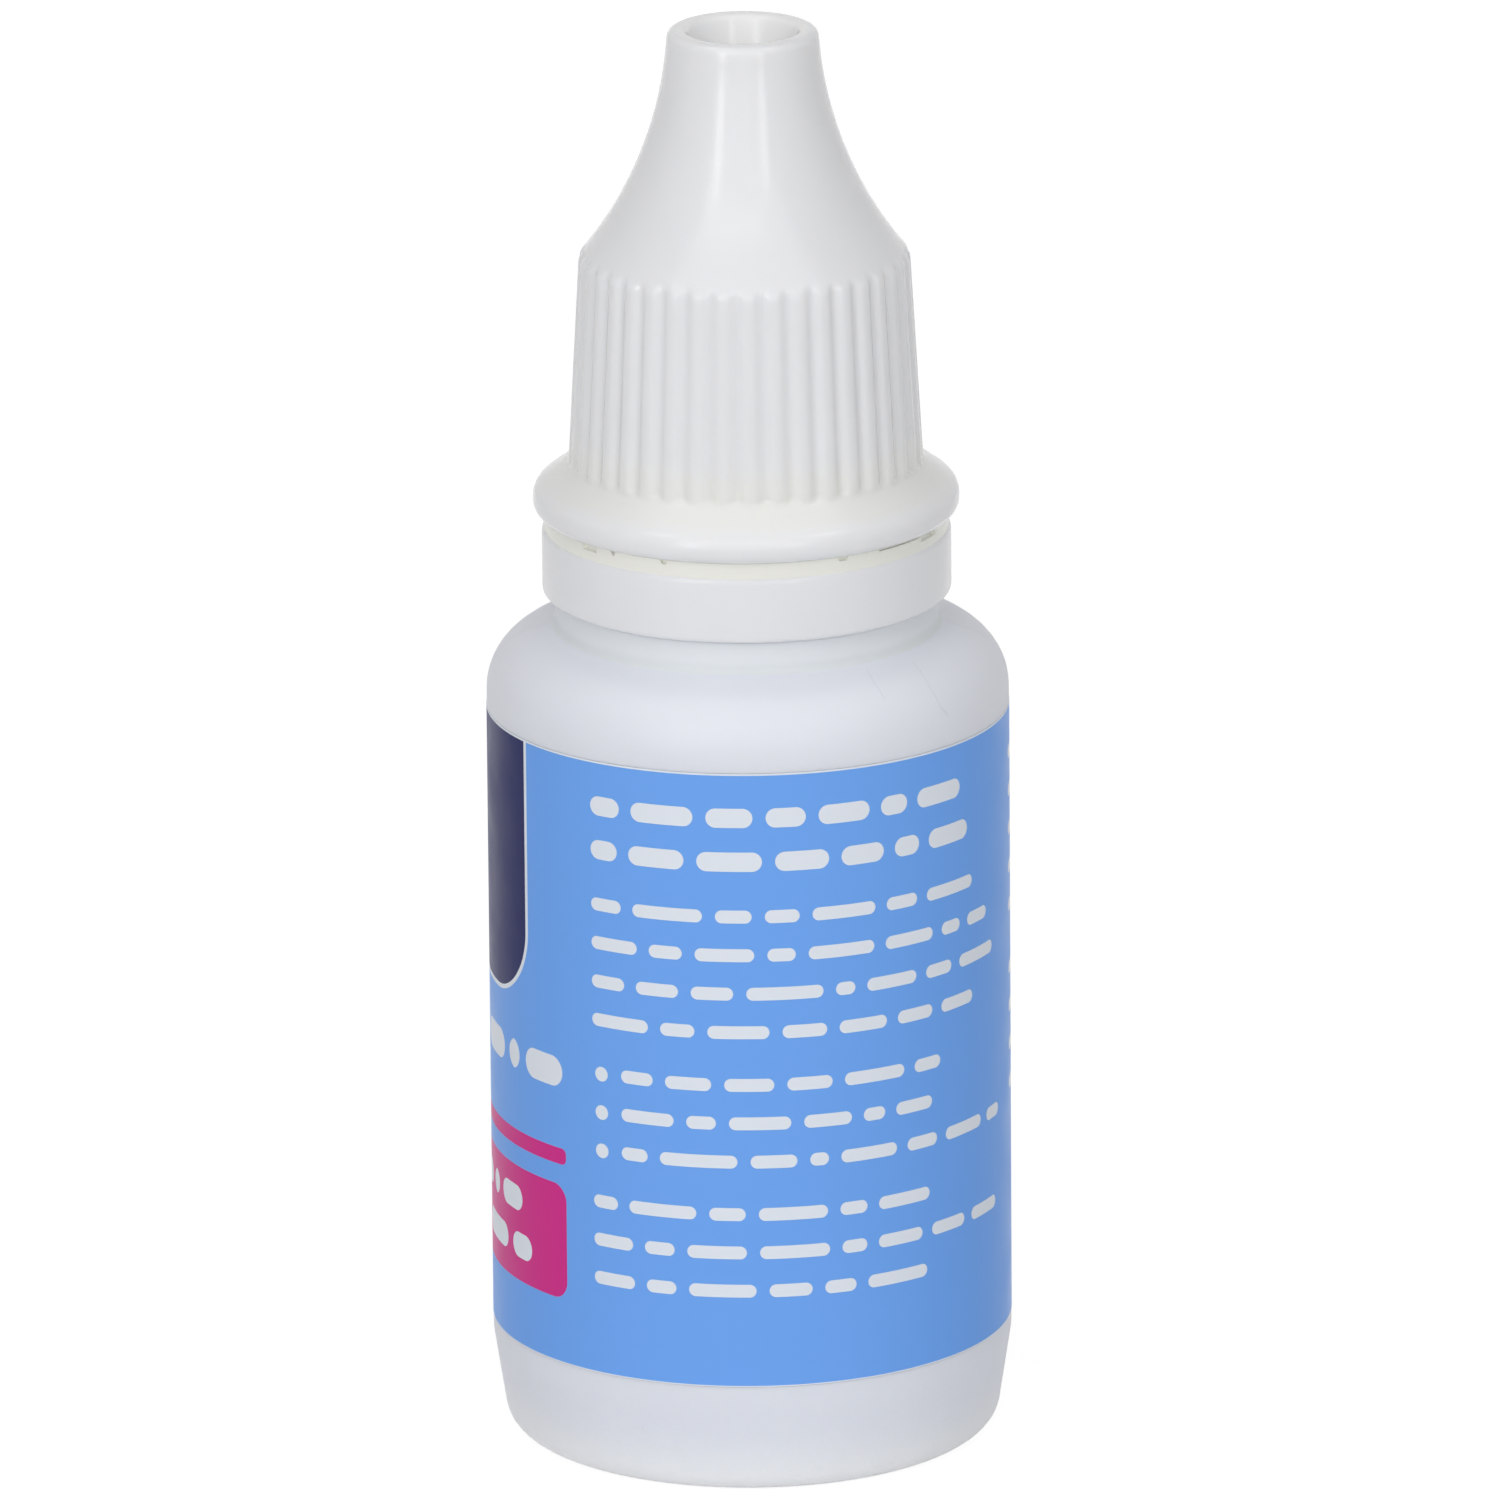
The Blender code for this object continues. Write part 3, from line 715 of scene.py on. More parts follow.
def bottle_outline():
    """Hollow blown bottle: inner floor out and up to the mouth, then down the outside to the base."""
    panel_foot = LABEL_FOOT - PANEL_GAP
    panel_top = LABEL_FOOT + LABEL_HEIGHT + PANEL_GAP
    push_up_radius = STAND_RADIUS - PUSH_UP_RUN
    return rounded([
        (0, PUSH_UP_HEIGHT + BODY_WALL, 0),
        (push_up_radius, PUSH_UP_HEIGHT + BODY_WALL, PUSH_UP_RUN),
        (STAND_RADIUS, BODY_WALL, 0),
        (HEEL_RADIUS - BODY_WALL, BODY_WALL, HEEL_ROUND),
        (BODY_RADIUS - BODY_WALL, HEEL_RISE, FLANK_ROUND),
        (BODY_RADIUS - BODY_WALL, SHOULDER_EDGE - BODY_WALL, SHOULDER_ROUND - BODY_WALL),
        (COLLAR_RADIUS - COLLAR_WALL, SHOULDER_HEIGHT - BODY_WALL, 0),
        (COLLAR_RADIUS - COLLAR_WALL, COLLAR_TOP, 0),
        (BORE_RADIUS, NECK_TOP - BORE_DEPTH, 0),
        (BORE_RADIUS, NECK_TOP, NECK_ROUND),
        (NECK_RADIUS, NECK_TOP, NECK_ROUND),
        (NECK_RADIUS, LATCH_FOOT + LATCH_LAND + LATCH_LEAD_IN, 0),
        (LATCH_RADIUS, LATCH_FOOT + LATCH_LAND, LATCH_ROUND),
        (LATCH_RADIUS, LATCH_FOOT, LATCH_ROUND),
        (GUIDE_RADIUS, LATCH_FOOT, 0),
        (GUIDE_RADIUS, COLLAR_TOP, 0),
        (COLLAR_RADIUS, COLLAR_TOP, COLLAR_EDGE),
        (COLLAR_RADIUS, SHOULDER_HEIGHT, COLLAR_FILLET),
        (BODY_RADIUS, SHOULDER_EDGE, SHOULDER_ROUND),
        (BODY_RADIUS, panel_top, 0),
        (BODY_RADIUS - PANEL_DEPTH, panel_top, 0),
        (BODY_RADIUS - PANEL_DEPTH, panel_foot, 0),
        (BODY_RADIUS, panel_foot, 0),
        (BODY_RADIUS, HEEL_RISE, FLANK_ROUND),
        (HEEL_RADIUS, 0, HEEL_ROUND),
        (STAND_RADIUS, 0, 0),
        (push_up_radius, PUSH_UP_HEIGHT, PUSH_UP_RUN),
        (0, PUSH_UP_HEIGHT, 0),
    ])


def hair_line(finish, east, north, start, end):
    """Where a fine scratch runs, seen from above, between two places in millimetres."""
    (start_east, start_north), (end_east, end_north) = start, end
    length = hypot(end_east - start_east, end_north - start_north)
    along_east, along_north = (end_east - start_east) / length, (end_north - start_north) / length
    off_east, off_north = east / MM - start_east, north / MM - start_north
    along = off_east * along_east + off_north * along_north
    aside = abs(off_east * along_north - off_north * along_east)
    return finish.near(aside, HAIR_WIDTH / 4, HAIR_WIDTH) * (along > 0) * (along < length)


def bottle_plastic(settings):
    """Blown bottle plastic: coarser grain at the heel, two mould lines, hair scratches, a few specks, and
    painted light and shade.
    """
    finish = moulded_plastic("bottle_satin", settings, settings.colour, settings.grain, softness=0.3)
    place = finish.place()
    east, north, up = finish.apart(place)
    heel = finish.fit(up, *[LABEL_FOOT - drop for drop in HEEL_GRAIN_DROPS])
    grain = finish.noise(place, size=0.24 * MM, detail=3) * heel
    mould_line = finish.near(abs(north), *MOULD_LINE_EDGE)
    scratched = 0
    for places in HAIR_SCRATCHES:
        for start, end in zip(places, places[1:]):
            scratched = hair_line(finish, east, north, start, end) | scratched
    scratched = scratched * (up > LABEL_FOOT + LABEL_HEIGHT)
    speck = finish.add(
        "ShaderNodeTexVoronoi", {"feature": "F1"},
        {"Vector": place, "Scale": 1 / SPECK_SPACING, "Randomness": 1.0},
    )
    specks = finish.near(speck, *SPECK_EDGE) * heel
    # The collar under the ring carries painted shade
    collar = (distance(east, north) < COLLAR_RADIUS + COLLAR_FILLET) * (up > SHOULDER_HEIGHT)
    # Painted shade in the crease at the collar's foot
    neck_crease_shade = finish.near(abs(up - SHOULDER_HEIGHT - NECK_CREASE_SHADE_RISE), *NECK_CREASE_SHADE_EDGE)
    # Painted light towards the base, painted shade on the collar and in its crease, then scratches and specks
    colour = finish.paint(
        finish.colour,
        (HEEL_PAINTED_LIGHT, finish.fit(up, HEEL_PAINTED_LIGHT_TOP, 0) * HEEL_PAINTED_LIGHT_SHARE),
        (COLLAR_SHADE_TINT, collar * COLLAR_SHADE_TINT_SHARE),
        (NECK_CREASE_SHADE_GREY, collar * neck_crease_shade * NECK_CREASE_SHADE_STRENGTH),
        (SCRATCH_GREY, scratched * SCRATCH_STRENGTH),
        (SPECK_BROWN, specks * SPECK_STRENGTH),
    )
    relief = finish.bump(grain, RELIEF_DEPTH, finish.relief)
    relief = finish.bump(mould_line - scratched * SCRATCH_DEPTH, RELIEF_DEPTH, relief)
    finish.set(Base_Color=colour, Normal=relief)
    return finish.material


def thread_section(settings, root, crest, azimuth, middle):
    """Cut through the thread: a flat-topped ridge between two radii at a height on the axis."""
    width, land = settings.thread_width, settings.thread_land
    shoulder = crest - (crest - root) * THREAD_SHOULDER_DROP
    flank = land / 2 + (width - land) * THREAD_SHOULDER_RUN
    lower = [(root, -width / 2), (shoulder, -flank), (crest, -land / 2)]
    upper = [(radius, -rise) for radius, rise in reversed(lower)]
    return [on_circle(radius, azimuth, middle + rise) for radius, rise in lower + upper]


def thread_ridge(settings, root, crest, start_height):
    """A right-handed ridge that fades in and out at its two ends."""
    swing = settings.thread_turns * FULL_TURN
    steps = ceil(THREAD_COLUMNS * settings.thread_turns)
    sections = []
    for step in range(steps + 1):
        turn = swing * step / steps
        fade = min(1, min(turn, swing - turn) / THREAD_FADE)
        proud = root + (crest - root) * sin(fade * pi / 2)
        middle = start_height + settings.thread_pitch * turn / FULL_TURN
        sections.append(thread_section(settings, root, proud, THREAD_AZIMUTH + turn, middle))
    return sweep(sections)


class BOTTLE_OT_bottle(bpy.types.Operator):
    """Build the hollow bottle with its neck"""

    bl_idname = "dropper.bottle"
    bl_label = "Bottle"

    def execute(self, context):
        material = bottle_plastic(context.scene.dropper_bottle.bottle)
        mesh = skin(turned(bottle_outline(), BOTTLE_COLUMNS))
        add_piece("bottle_shell", mesh, material, "bottle_body", "bottle")
        return {"FINISHED"}


class BOTTLE_OT_pinch_ridge(bpy.types.Operator):
    """Build the pinched-off ridge on the bottle's base"""

    bl_idname = "dropper.pinch_ridge"
    bl_label = "Pinch ridge"

    def execute(self, context):
        sections = []
        for step in range(PINCH_STEPS + 1):
            share = step / PINCH_STEPS * 2 - 1
            swell = sqrt(1 - min(share ** 2, PINCH_END))
            half, drop = PINCH_WIDTH / 2 * swell, PINCH_HEIGHT * swell
            left = [(-1, PINCH_HEIGHT), (-1, -drop * PINCH_EDGE_SHARE), (-PINCH_CREST_SHARE, -drop)]
            outline = left + [(-side, rise) for side, rise in reversed(left)]
            sections.append([
                (PINCH_LENGTH / 2 * share, side * half, PUSH_UP_HEIGHT + rise) for side, rise in outline
            ])
        material = bpy.data.materials["bottle_satin"]
        add_piece("pinch_ridge", sweep(sections), material, "bottle_body")
        return {"FINISHED"}


class BOTTLE_OT_neck_thread(bpy.types.Operator):
    """Build the thread on the bottle's neck"""

    bl_idname = "dropper.neck_thread"
    bl_label = "Neck thread"

    def execute(self, context):
        settings = context.scene.dropper_bottle.bottle
        crest = NECK_RADIUS + settings.thread_height
        mesh = thread_ridge(settings, NECK_RADIUS - THREAD_SINK, crest, NECK_THREAD_START)
        material = bpy.data.materials["bottle_satin"]
        add_piece("neck_thread", mesh, material, "bottle_body")
        return {"FINISHED"}


def insert_outline():
    """Dropper insert: orifice, nozzle, flange and barrel with sealing ribs, then up the inner well."""
    barrel_foot = FLANGE_FOOT - BARREL_LENGTH
    orifice_floor = TIP_TOP - ORIFICE_DEPTH
    metering_foot = orifice_floor - METERING_LENGTH
    corners = [
        (ORIFICE_RADIUS, TIP_TOP, NOZZLE_TIP_ROUND / 4),
        (NOZZLE_TIP_RADIUS, TIP_TOP, NOZZLE_TIP_ROUND),
        (NOZZLE_WAIST_RADIUS, FLANGE_TOP + NOZZLE_WAIST_HEIGHT, NOZZLE_BLEND),
        (NOZZLE_FOOT_RADIUS, FLANGE_TOP, NOZZLE_BLEND),
        (FLANGE_RADIUS, FLANGE_TOP, FLANGE_ROUND),
        (FLANGE_RADIUS, FLANGE_FOOT, 0),
        (BARREL_RADIUS, FLANGE_FOOT, 0),
    ]
    for drop in SEAL_RIB_DROPS:
        rib_top = FLANGE_FOOT - drop
        corners += [
            (BARREL_RADIUS, rib_top, 0),
            (SEAL_RIB_RADIUS, rib_top - SEAL_RIB_HEIGHT / 2, SEAL_RIB_HEIGHT / 2),
            (BARREL_RADIUS, rib_top - SEAL_RIB_HEIGHT, 0),
        ]
    corners += [
        (BARREL_RADIUS, barrel_foot + BARREL_CHAMFER, 0),
        (BARREL_RADIUS - BARREL_CHAMFER, barrel_foot, 0),
        (WELL_FOOT_RADIUS, barrel_foot, 0),
        (WELL_TOP_RADIUS, metering_foot, 0),
        (METERING_RADIUS, metering_foot, 0),
        (METERING_RADIUS, orifice_floor, 0),
        (ORIFICE_RADIUS, orifice_floor, 0),
    ]
    return rounded(corners)


class BOTTLE_OT_insert(bpy.types.Operator):
    """Build the dropper insert in the neck"""

    bl_idname = "dropper.insert"
    bl_label = "Dropper insert"

    def execute(self, context):
        settings = context.scene.dropper_bottle.insert
        mesh = skin(turned(insert_outline(), INSERT_COLUMNS), closed=True)
        finish = moulded_plastic("insert_satin", settings, settings.colour, grain=0.002 * MM, softness=0.3)
        add_piece(
            "dropper_nozzle", mesh, finish.material, "bottle_body", "dropper_insert"
        )
        return {"FINISHED"}


def box_distance(strip, height, left, low, right, high, corner):
    """Distance outside a box with round corners, in millimetres, and less than zero within it."""
    across = (abs(strip - (left + right) / 2) - ((right - left) / 2 - corner)) | 0
    along = (abs(height - (low + high) / 2) - ((high - low) / 2 - corner)) | 0
    return distance(across, along) - corner


def drop_shape(strip, height):
    """Where a plain drop with its tip up lies."""
    middle, foot = DROP_PLACE
    side = abs(strip - middle)
    rise = height - foot
    slope = DROP_RADIUS / DROP_TIP
    ball = distance(side, rise) < DROP_RADIUS
    cone = (side * sqrt(1 - slope ** 2) < (DROP_TIP - rise) * slope) & (rise > DROP_RADIUS * slope)
    return ball | cone


def print_bars(finish, strip, height, left, top, right, lines, pitch, bar, seed):
    """Lines of plain round-ended bars, as long as words, that stand for print."""
    down = (top - height) / pitch
    line = down.floor()
    along = (strip - left + WORD_SPACE / 2) / WORD_LENGTH
    cell = along.floor()
    bounds = []
    for corner in (cell, cell + 1):
        shift = (finish.chance(finish.together(corner, line, seed)) - 0.5) * (WORD_JITTER * 2)
        bounds.append(corner + shift * (corner > 0))
    first, last = bounds
    word = cell - (along < first) + (along > last)
    words = (right - left) / WORD_LENGTH
    most = finish.chance(finish.together(line, seed, seed)) * (words * (1 - SHORTEST_LINE_SHARE))
    within = (word > -0.5) & (word < most + words * SHORTEST_LINE_SHARE) & (down > 0) & (down < lines)
    from_gap = (abs(along - first) & abs(along - last)) * WORD_LENGTH - (WORD_SPACE + bar) / 2
    rise = (down - line) * pitch - bar / 2
    return within & (distance(from_gap & 0, rise) < bar / 2)


def label_film(settings, radius):
    """Printed film: ground, panel with a keyline and a drop, accents and bars that stand for print."""
    finish = Finish("label_film_print")
    place = finish.place()
    east, north, up = finish.apart(place)
    azimuth = finish.add("ShaderNodeMath", {"operation": "ARCTAN2"}, {0: east, 1: north * -1})
    strip = azimuth * (radius / MM)
    height = (up - LABEL_FOOT) / MM

    white = settings.print_colour
    panel = box_distance(strip, height, *PANEL_BOX)
    layers = [
        (white, panel < 0),
        (settings.panel, panel < -settings.keyline / MM),
        (white, drop_shape(strip, height)),
    ]
    layers += [(settings.accent, box_distance(strip, height, *box) < 0) for box in ACCENT_BOXES]
    printed = box_distance(strip, height, *DATE_BOX) < 0
    for row in PRINT_ROWS:
        printed = printed | print_bars(finish, strip, height, *row)
    for across, rise in BULLETS:
        printed = printed | (distance(strip - across, height - rise) < BULLET_RADIUS)
    printed = printed | (height > LABEL_HEIGHT / MM - FILM_TOP_EDGE) | (height < FILM_FOOT_EDGE)
    finish.set(
        Base_Color=finish.paint(settings.ground, *layers, (white, printed)),
        Roughness=finish.uneven(finish.noise(place, size=2.4 * MM, detail=3), settings.roughness, drop=0.03),
        Normal=finish.bump(finish.noise(place, size=1.4 * MM, detail=1), depth=0.003 * MM),
        Specular_IOR_Level=settings.gloss,
    )
    return finish.material


class BOTTLE_OT_label(bpy.types.Operator):
    """Build the label round the bottle"""

    bl_idname = "dropper.label"
    bl_label = "Label"

    def execute(self, context):
        settings = context.scene.dropper_bottle.label
        inner = BODY_RADIUS - PANEL_DEPTH
        outer = inner + settings.thickness
        head = LABEL_FOOT + LABEL_HEIGHT
        half_seam = SEAM_WIDTH / outer / 2
        start = SEAM_AZIMUTH + half_seam
        swing = FULL_TURN - 2 * half_seam
        corners = ((outer, head), (outer, LABEL_FOOT), (inner, LABEL_FOOT), (inner, head))
        sections = [
            [on_circle(radius, start + swing * step / BOTTLE_COLUMNS, height) for radius, height in corners]
            for step in range(BOTTLE_COLUMNS + 1)
        ]
        material = label_film(settings, outer)
        add_piece("label_wrap", sweep(sections), material, "bottle_body", "label")
        return {"FINISHED"}


def lug_share(azimuth):
    """How much of its full reach the ring's inside has at an azimuth: 1 on a lug, 0 between two."""
    pitch = FULL_TURN / LUG_COUNT
    off = abs((azimuth + pitch / 2) % pitch - pitch / 2)
    return clamp((LUG_WIDTH / 2 - off) / LUG_FLANK)


def lug_ring(height):
    """The ring's inside with its lugs at a height."""
    return [
        on_circle(RING_INNER_RADIUS + (LUG_RADIUS - RING_INNER_RADIUS) * lug_share(azimuth), azimuth, height)
        for azimuth in azimuths_of(RING_COLUMNS)
    ]


def ring_mesh():
    """The ring, round its outside and up over the lugs."""
    lug_top = LATCH_FOOT - LUG_TOP_GAP
    lug_foot = lug_top - LUG_HEIGHT
    outside = rounded([
        (RING_INNER_RADIUS, RING_TOP, 0),
        (RING_RADIUS, RING_TOP, RING_TOP_ROUND),
        (RING_RADIUS, RING_FOOT, RING_FOOT_ROUND),
        (RING_INNER_RADIUS, RING_FOOT, 0),
        (RING_INNER_RADIUS, lug_foot, 0),
    ])
    rings = turned(outside, RING_COLUMNS)
    rings += [lug_ring(lug_foot + LUG_LEAD_IN), lug_ring(lug_top)]
    rings.append(ring_of(RING_INNER_RADIUS, lug_top + LUG_TOP_STEP, RING_COLUMNS))
    return skin(rings, closed=True)


def slit_depth(azimuth):
    """How deep the web is notched at an azimuth in degrees, as a share of its height."""
    depths = [0]
    for middle, width, depth in SLITS:
        off = abs((azimuth - middle + 180) % 360 - 180)
        depths.append(depth * clamp((width / 2 - off) / SLIT_RAMP))
    return max(depths)


def web_azimuths():
    """Even steps round the web, and the corners of every notch."""
    azimuths = set(range(0, 360, WEB_STEP))
    for middle, width, _ in SLITS:
        for off in (width / 2, width / 2 - SLIT_RAMP):
            azimuths |= {(middle - off) % 360, (middle + off) % 360}
    return sorted(azimuths)


def web_mesh(height):
    """A thin web round the ring's top, with notches in its outer face under the cap."""
    foot = RING_TOP - WEB_SINK
    head = RING_TOP + height
    rows = []
    for azimuth in web_azimuths():
        ledge = head - max(height * slit_depth(azimuth), WEB_EDGE)
        corners = (
            (WEB_OUTER_RADIUS, foot), (WEB_OUTER_RADIUS, ledge), (WEB_NOTCH_RADIUS, ledge),
            (WEB_NOTCH_RADIUS, head), (WEB_INNER_RADIUS, head), (WEB_INNER_RADIUS, foot),
        )
        rows.append([on_circle(radius, radians(azimuth), level) for radius, level in corners])
    return sweep(rows, closed=True)


class BOTTLE_OT_tamper_ring(bpy.types.Operator):
    """Build the tamper ring with its lugs and its web"""

    bl_idname = "dropper.tamper_ring"
    bl_label = "Tamper ring"

    def execute(self, context):
        settings = context.scene.dropper_bottle.ring
        solid = moulded_plastic("ring_satin", settings, settings.colour, MOULDED_GRAIN, softness=0.1).material
        add_piece("ring_body_shell", ring_mesh(), solid, "ring_body", "tamper_ring")
        # Painted light: a paler, warmer colour on the web, which has no softness
        thin = moulded_plastic("web_thin_painted_light", settings, settings.web_painted_light_colour, MOULDED_GRAIN, softness=0).material
        add_piece("break_web", web_mesh(settings.web_height), thin, "ring_body")
        return {"FINISHED"}


def nose_arc_centre():
    """Centre of the concave nose's arc, outside the cap, from the arc's two ends and its radius."""
    top = Vector((NOSE_TOP_RADIUS, CAP_TOP))
    foot = Vector((SKIRT_TOP_RADIUS, SKIRT_TOP))
    chord = foot - top
    outward = Vector((-chord.y, chord.x)).normalized()
    return (top + foot) / 2 + outward * sqrt(NOSE_ARC_RADIUS ** 2 - (chord.length / 2) ** 2)


def nose_radius(height, wall=0.0):
    """Radius of the nose at a height, or of the cavity under its wall."""
    centre = nose_arc_centre()
    return centre.x - sqrt((NOSE_ARC_RADIUS + wall) ** 2 - (height - centre.y) ** 2)


def nose_corners(first, last, steps, wall=0.0):
    """Corners along the nose's arc from below one height down to another."""
    heights = [first + (last - first) * step / steps for step in range(1, steps + 1)]
    return [(nose_radius(height, wall), height, 0) for height in heights]


def skirt_corner(height):
    share = (height - SKIRT_FOOT) / (SKIRT_TOP - SKIRT_FOOT)
    return SKIRT_FOOT_RADIUS + (SKIRT_TOP_RADIUS - SKIRT_FOOT_RADIUS) * share, height, 0


def cap_outline():
    """Gate mark and recess floor, over the rim, down to the foot, then up the bore to the seal pin."""
    centre = nose_arc_centre()
    cavity_foot = centre.y - sqrt((NOSE_ARC_RADIUS + NOSE_WALL) ** 2 - (centre.x - CAVITY_RADIUS) ** 2)
    return rounded([
        (0, RECESS_FLOOR + GATE_HEIGHT, 0),
        (GATE_RADIUS, RECESS_FLOOR + GATE_HEIGHT, GATE_HEIGHT / 2),
        (GATE_RADIUS * GATE_FLARE, RECESS_FLOOR, 0),
        (RECESS_FLOOR_RADIUS, RECESS_FLOOR, RECESS_FLOOR_ROUND),
        (RECESS_WAIST_RADIUS, CAP_TOP - RECESS_WAIST_DROP, RECESS_WAIST_ROUND),
        (RECESS_MOUTH_RADIUS, CAP_TOP, RIM_INNER_ROUND),
        (NOSE_TOP_RADIUS, CAP_TOP, RIM_OUTER_ROUND),
        *nose_corners(CAP_TOP, GROOVE_TOP, NOSE_STEPS),
        (SKIRT_TOP_RADIUS, SKIRT_TOP, SKIRT_TOP_ROUND),
        skirt_corner(GROOVE_TOP - RIB_END_LENGTH),
        skirt_corner(GROOVE_FOOT + RIB_END_LENGTH),
        (SKIRT_FOOT_RADIUS, SKIRT_FOOT, SKIRT_FOOT_FILLET),
        (BEAD_RADIUS, CAP_FOOT + BEAD_EDGE_HEIGHT, BEAD_EDGE_ROUND),
        (BEAD_RADIUS, CAP_FOOT, BEAD_FOOT_ROUND),
        (CAP_BORE_FOOT_RADIUS + CAP_BORE_CHAMFER, CAP_FOOT, 0),
        (CAP_BORE_FOOT_RADIUS, CAP_FOOT + CAP_BORE_CHAMFER, 0),
        (CAP_BORE_TOP_RADIUS, CAP_CEILING, 0),
        (CAVITY_RADIUS, CAP_CEILING, 0),
        (CAVITY_RADIUS, cavity_foot, 0),
        *nose_corners(cavity_foot, WEB_FOOT, CAVITY_STEPS, NOSE_WALL),
        (PIN_RADIUS, WEB_FOOT, 0),
        (PIN_RADIUS, WEB_FOOT - PIN_LENGTH, PIN_ROUND),
        (0, WEB_FOOT - PIN_LENGTH, 0),
    ])


def on_ribs(point):
    """Whether an outline point lies on the grooved outside of the cap."""
    return point.x > CAP_BORE_FOOT_RADIUS and GROOVE_FOOT <= point.y <= GROOVE_TOP


def with_rib_steps(points):
    """Outline with more points along the ribs, closest where the grooves run out."""
    result = points[:1]
    for upper, lower in zip(points, points[1:]):
        steps = 1
        if on_ribs(upper) and on_ribs(lower):
            near_end = upper.y > GROOVE_TOP - RIB_END_LENGTH or lower.y < GROOVE_FOOT + RIB_END_LENGTH / 2
            steps = ceil((upper - lower).length / (RIB_END_STEP if near_end else RIB_LONG_STEP))
        result += [upper.lerp(lower, step / steps) for step in range(1, steps + 1)]
    return result


def smooth(share):
    share = clamp(share)
    return share * share * (3 - 2 * share)


def rib_offset(settings, azimuth, height):
    """How far the skirt's face lies out of its cone: proud on a rib, sunk in a groove, flush at both ends."""
    phase = (azimuth - RIB_AZIMUTH) / FULL_TURN * settings.ribs
    groove = sin(pi * phase) ** 4
    rib = cos(pi * phase) ** 2
    fade = smooth((height - GROOVE_FOOT) / GROOVE_FOOT_FADE) * smooth((GROOVE_TOP - height) / GROOVE_TOP_FADE)
    return (settings.rib_crown * rib - settings.groove_depth * groove) * fade


def rib_ring(settings, radius, height):
    """The cap's grooved outside at a height."""
    return [
        on_circle(radius + rib_offset(settings, azimuth, height), azimuth, height)
        for azimuth in azimuths_of(settings.ribs * RIB_STEPS)
    ]


def cap_plastic(settings):
    """Cap plastic with painted shade, a warmer tint, in the crease above the bead, and painted light in the
    recess.
    """
    finish = moulded_plastic("cap_satin", settings, settings.colour, MOULDED_GRAIN, softness=0.5)
    east, north, up = finish.apart(finish.place())
    # Painted shade: a warm tint in the crease above the bead
    crease = finish.fit(up, *[SKIRT_FOOT + rise for rise in CREASE_SHADE_IN])
    crease = crease * finish.near(up, *[SKIRT_FOOT + rise for rise in CREASE_SHADE_OUT])
    # Painted light in the recess
    painted_light_edge = NOSE_TOP_RADIUS - RECESS_PAINTED_LIGHT_INSET
    recess = finish.fit(distance(east, north), painted_light_edge, RECESS_MOUTH_RADIUS) * (up > WEB_FOOT)
    finish.set(Base_Color=finish.paint(
        finish.colour,
        (settings.crease_shade_colour, crease * CREASE_SHADE_SHARE),
        (RECESS_PAINTED_LIGHT, recess * RECESS_PAINTED_LIGHT_SHARE),
    ))
    return finish.material


class BOTTLE_OT_screw_cap(bpy.types.Operator):
    """Build the ribbed screw cap with its thread"""

    bl_idname = "dropper.screw_cap"
    bl_label = "Screw cap"

    def execute(self, context):
        settings = context.scene.dropper_bottle.cap
        thread = context.scene.dropper_bottle.bottle
        rings = [
            rib_ring(settings, *point) if on_ribs(point) else ring_of(*point, CAP_COLUMNS)
            for point in with_rib_steps(cap_outline())
        ]
        material = cap_plastic(settings)
        add_piece("cap_shell", skin(rings), material, "cap_body", "screw_cap")
        crest = CAP_THREAD_ROOT - thread.thread_height - THREAD_SINK / 2
        start = NECK_THREAD_START - CAP_THREAD_LAG
        ridge = thread_ridge(thread, CAP_THREAD_ROOT + THREAD_SINK, crest, start)
        add_piece("cap_thread", ridge, material, "cap_body")
        return {"FINISHED"}


def add_light(name, foot, head, width, power):
    """A flat light of some width that reaches from one point to another and faces the bottle."""
    data = bpy.data.lights.new(name, "AREA")
    data.shape = "RECTANGLE"
    data.size = width
    data.size_y = (head - foot).length
    data.energy = power
    light = add_object(name, data)
    middle = (foot + head) / 2
    along = (head - foot).normalized()
    away = middle - Vector((0, 0, LIT_HEIGHT))
    away = (away - along * away.dot(along)).normalized()
    turn = Matrix((along.cross(away), along, away)).transposed().to_4x4()
    light.matrix_world = Matrix.Translation(middle) @ turn
    light.visible_camera = False


def add_lights(settings):
    """On each side an upright strip and a short high rail, then wide lights above and behind the camera."""
    for side, forward in STRIP_PLACES:
        foot, head = [Vector((side, -forward, height)) for height in (STRIP_FOOT, STRIP_HEAD)]
        add_light("strip", foot, head, STRIP_WIDTH, settings.strip_power)
        mirror = Vector((1 if side > 0 else -1, 1, 1))
        add_light("rail", RAIL_FOOT * mirror, RAIL_HEAD * mirror, RAIL_WIDTH, settings.rail_power)
    add_light("top", *TOP_LIGHT, settings.top_power)
    add_light("front", *FRONT_LIGHT, settings.front_power)


def seen_directly(nodes):
    """1 for what the camera sees straight, in a gloss or through a clear body, and 0 for plain light."""
    rays = ["Is Camera Ray", "Is Glossy Ray", "Is Transmission Ray"]
    camera, glossy, through = [nodes.add("ShaderNodeLightPath", output=ray) for ray in rays]
    return camera | glossy | through


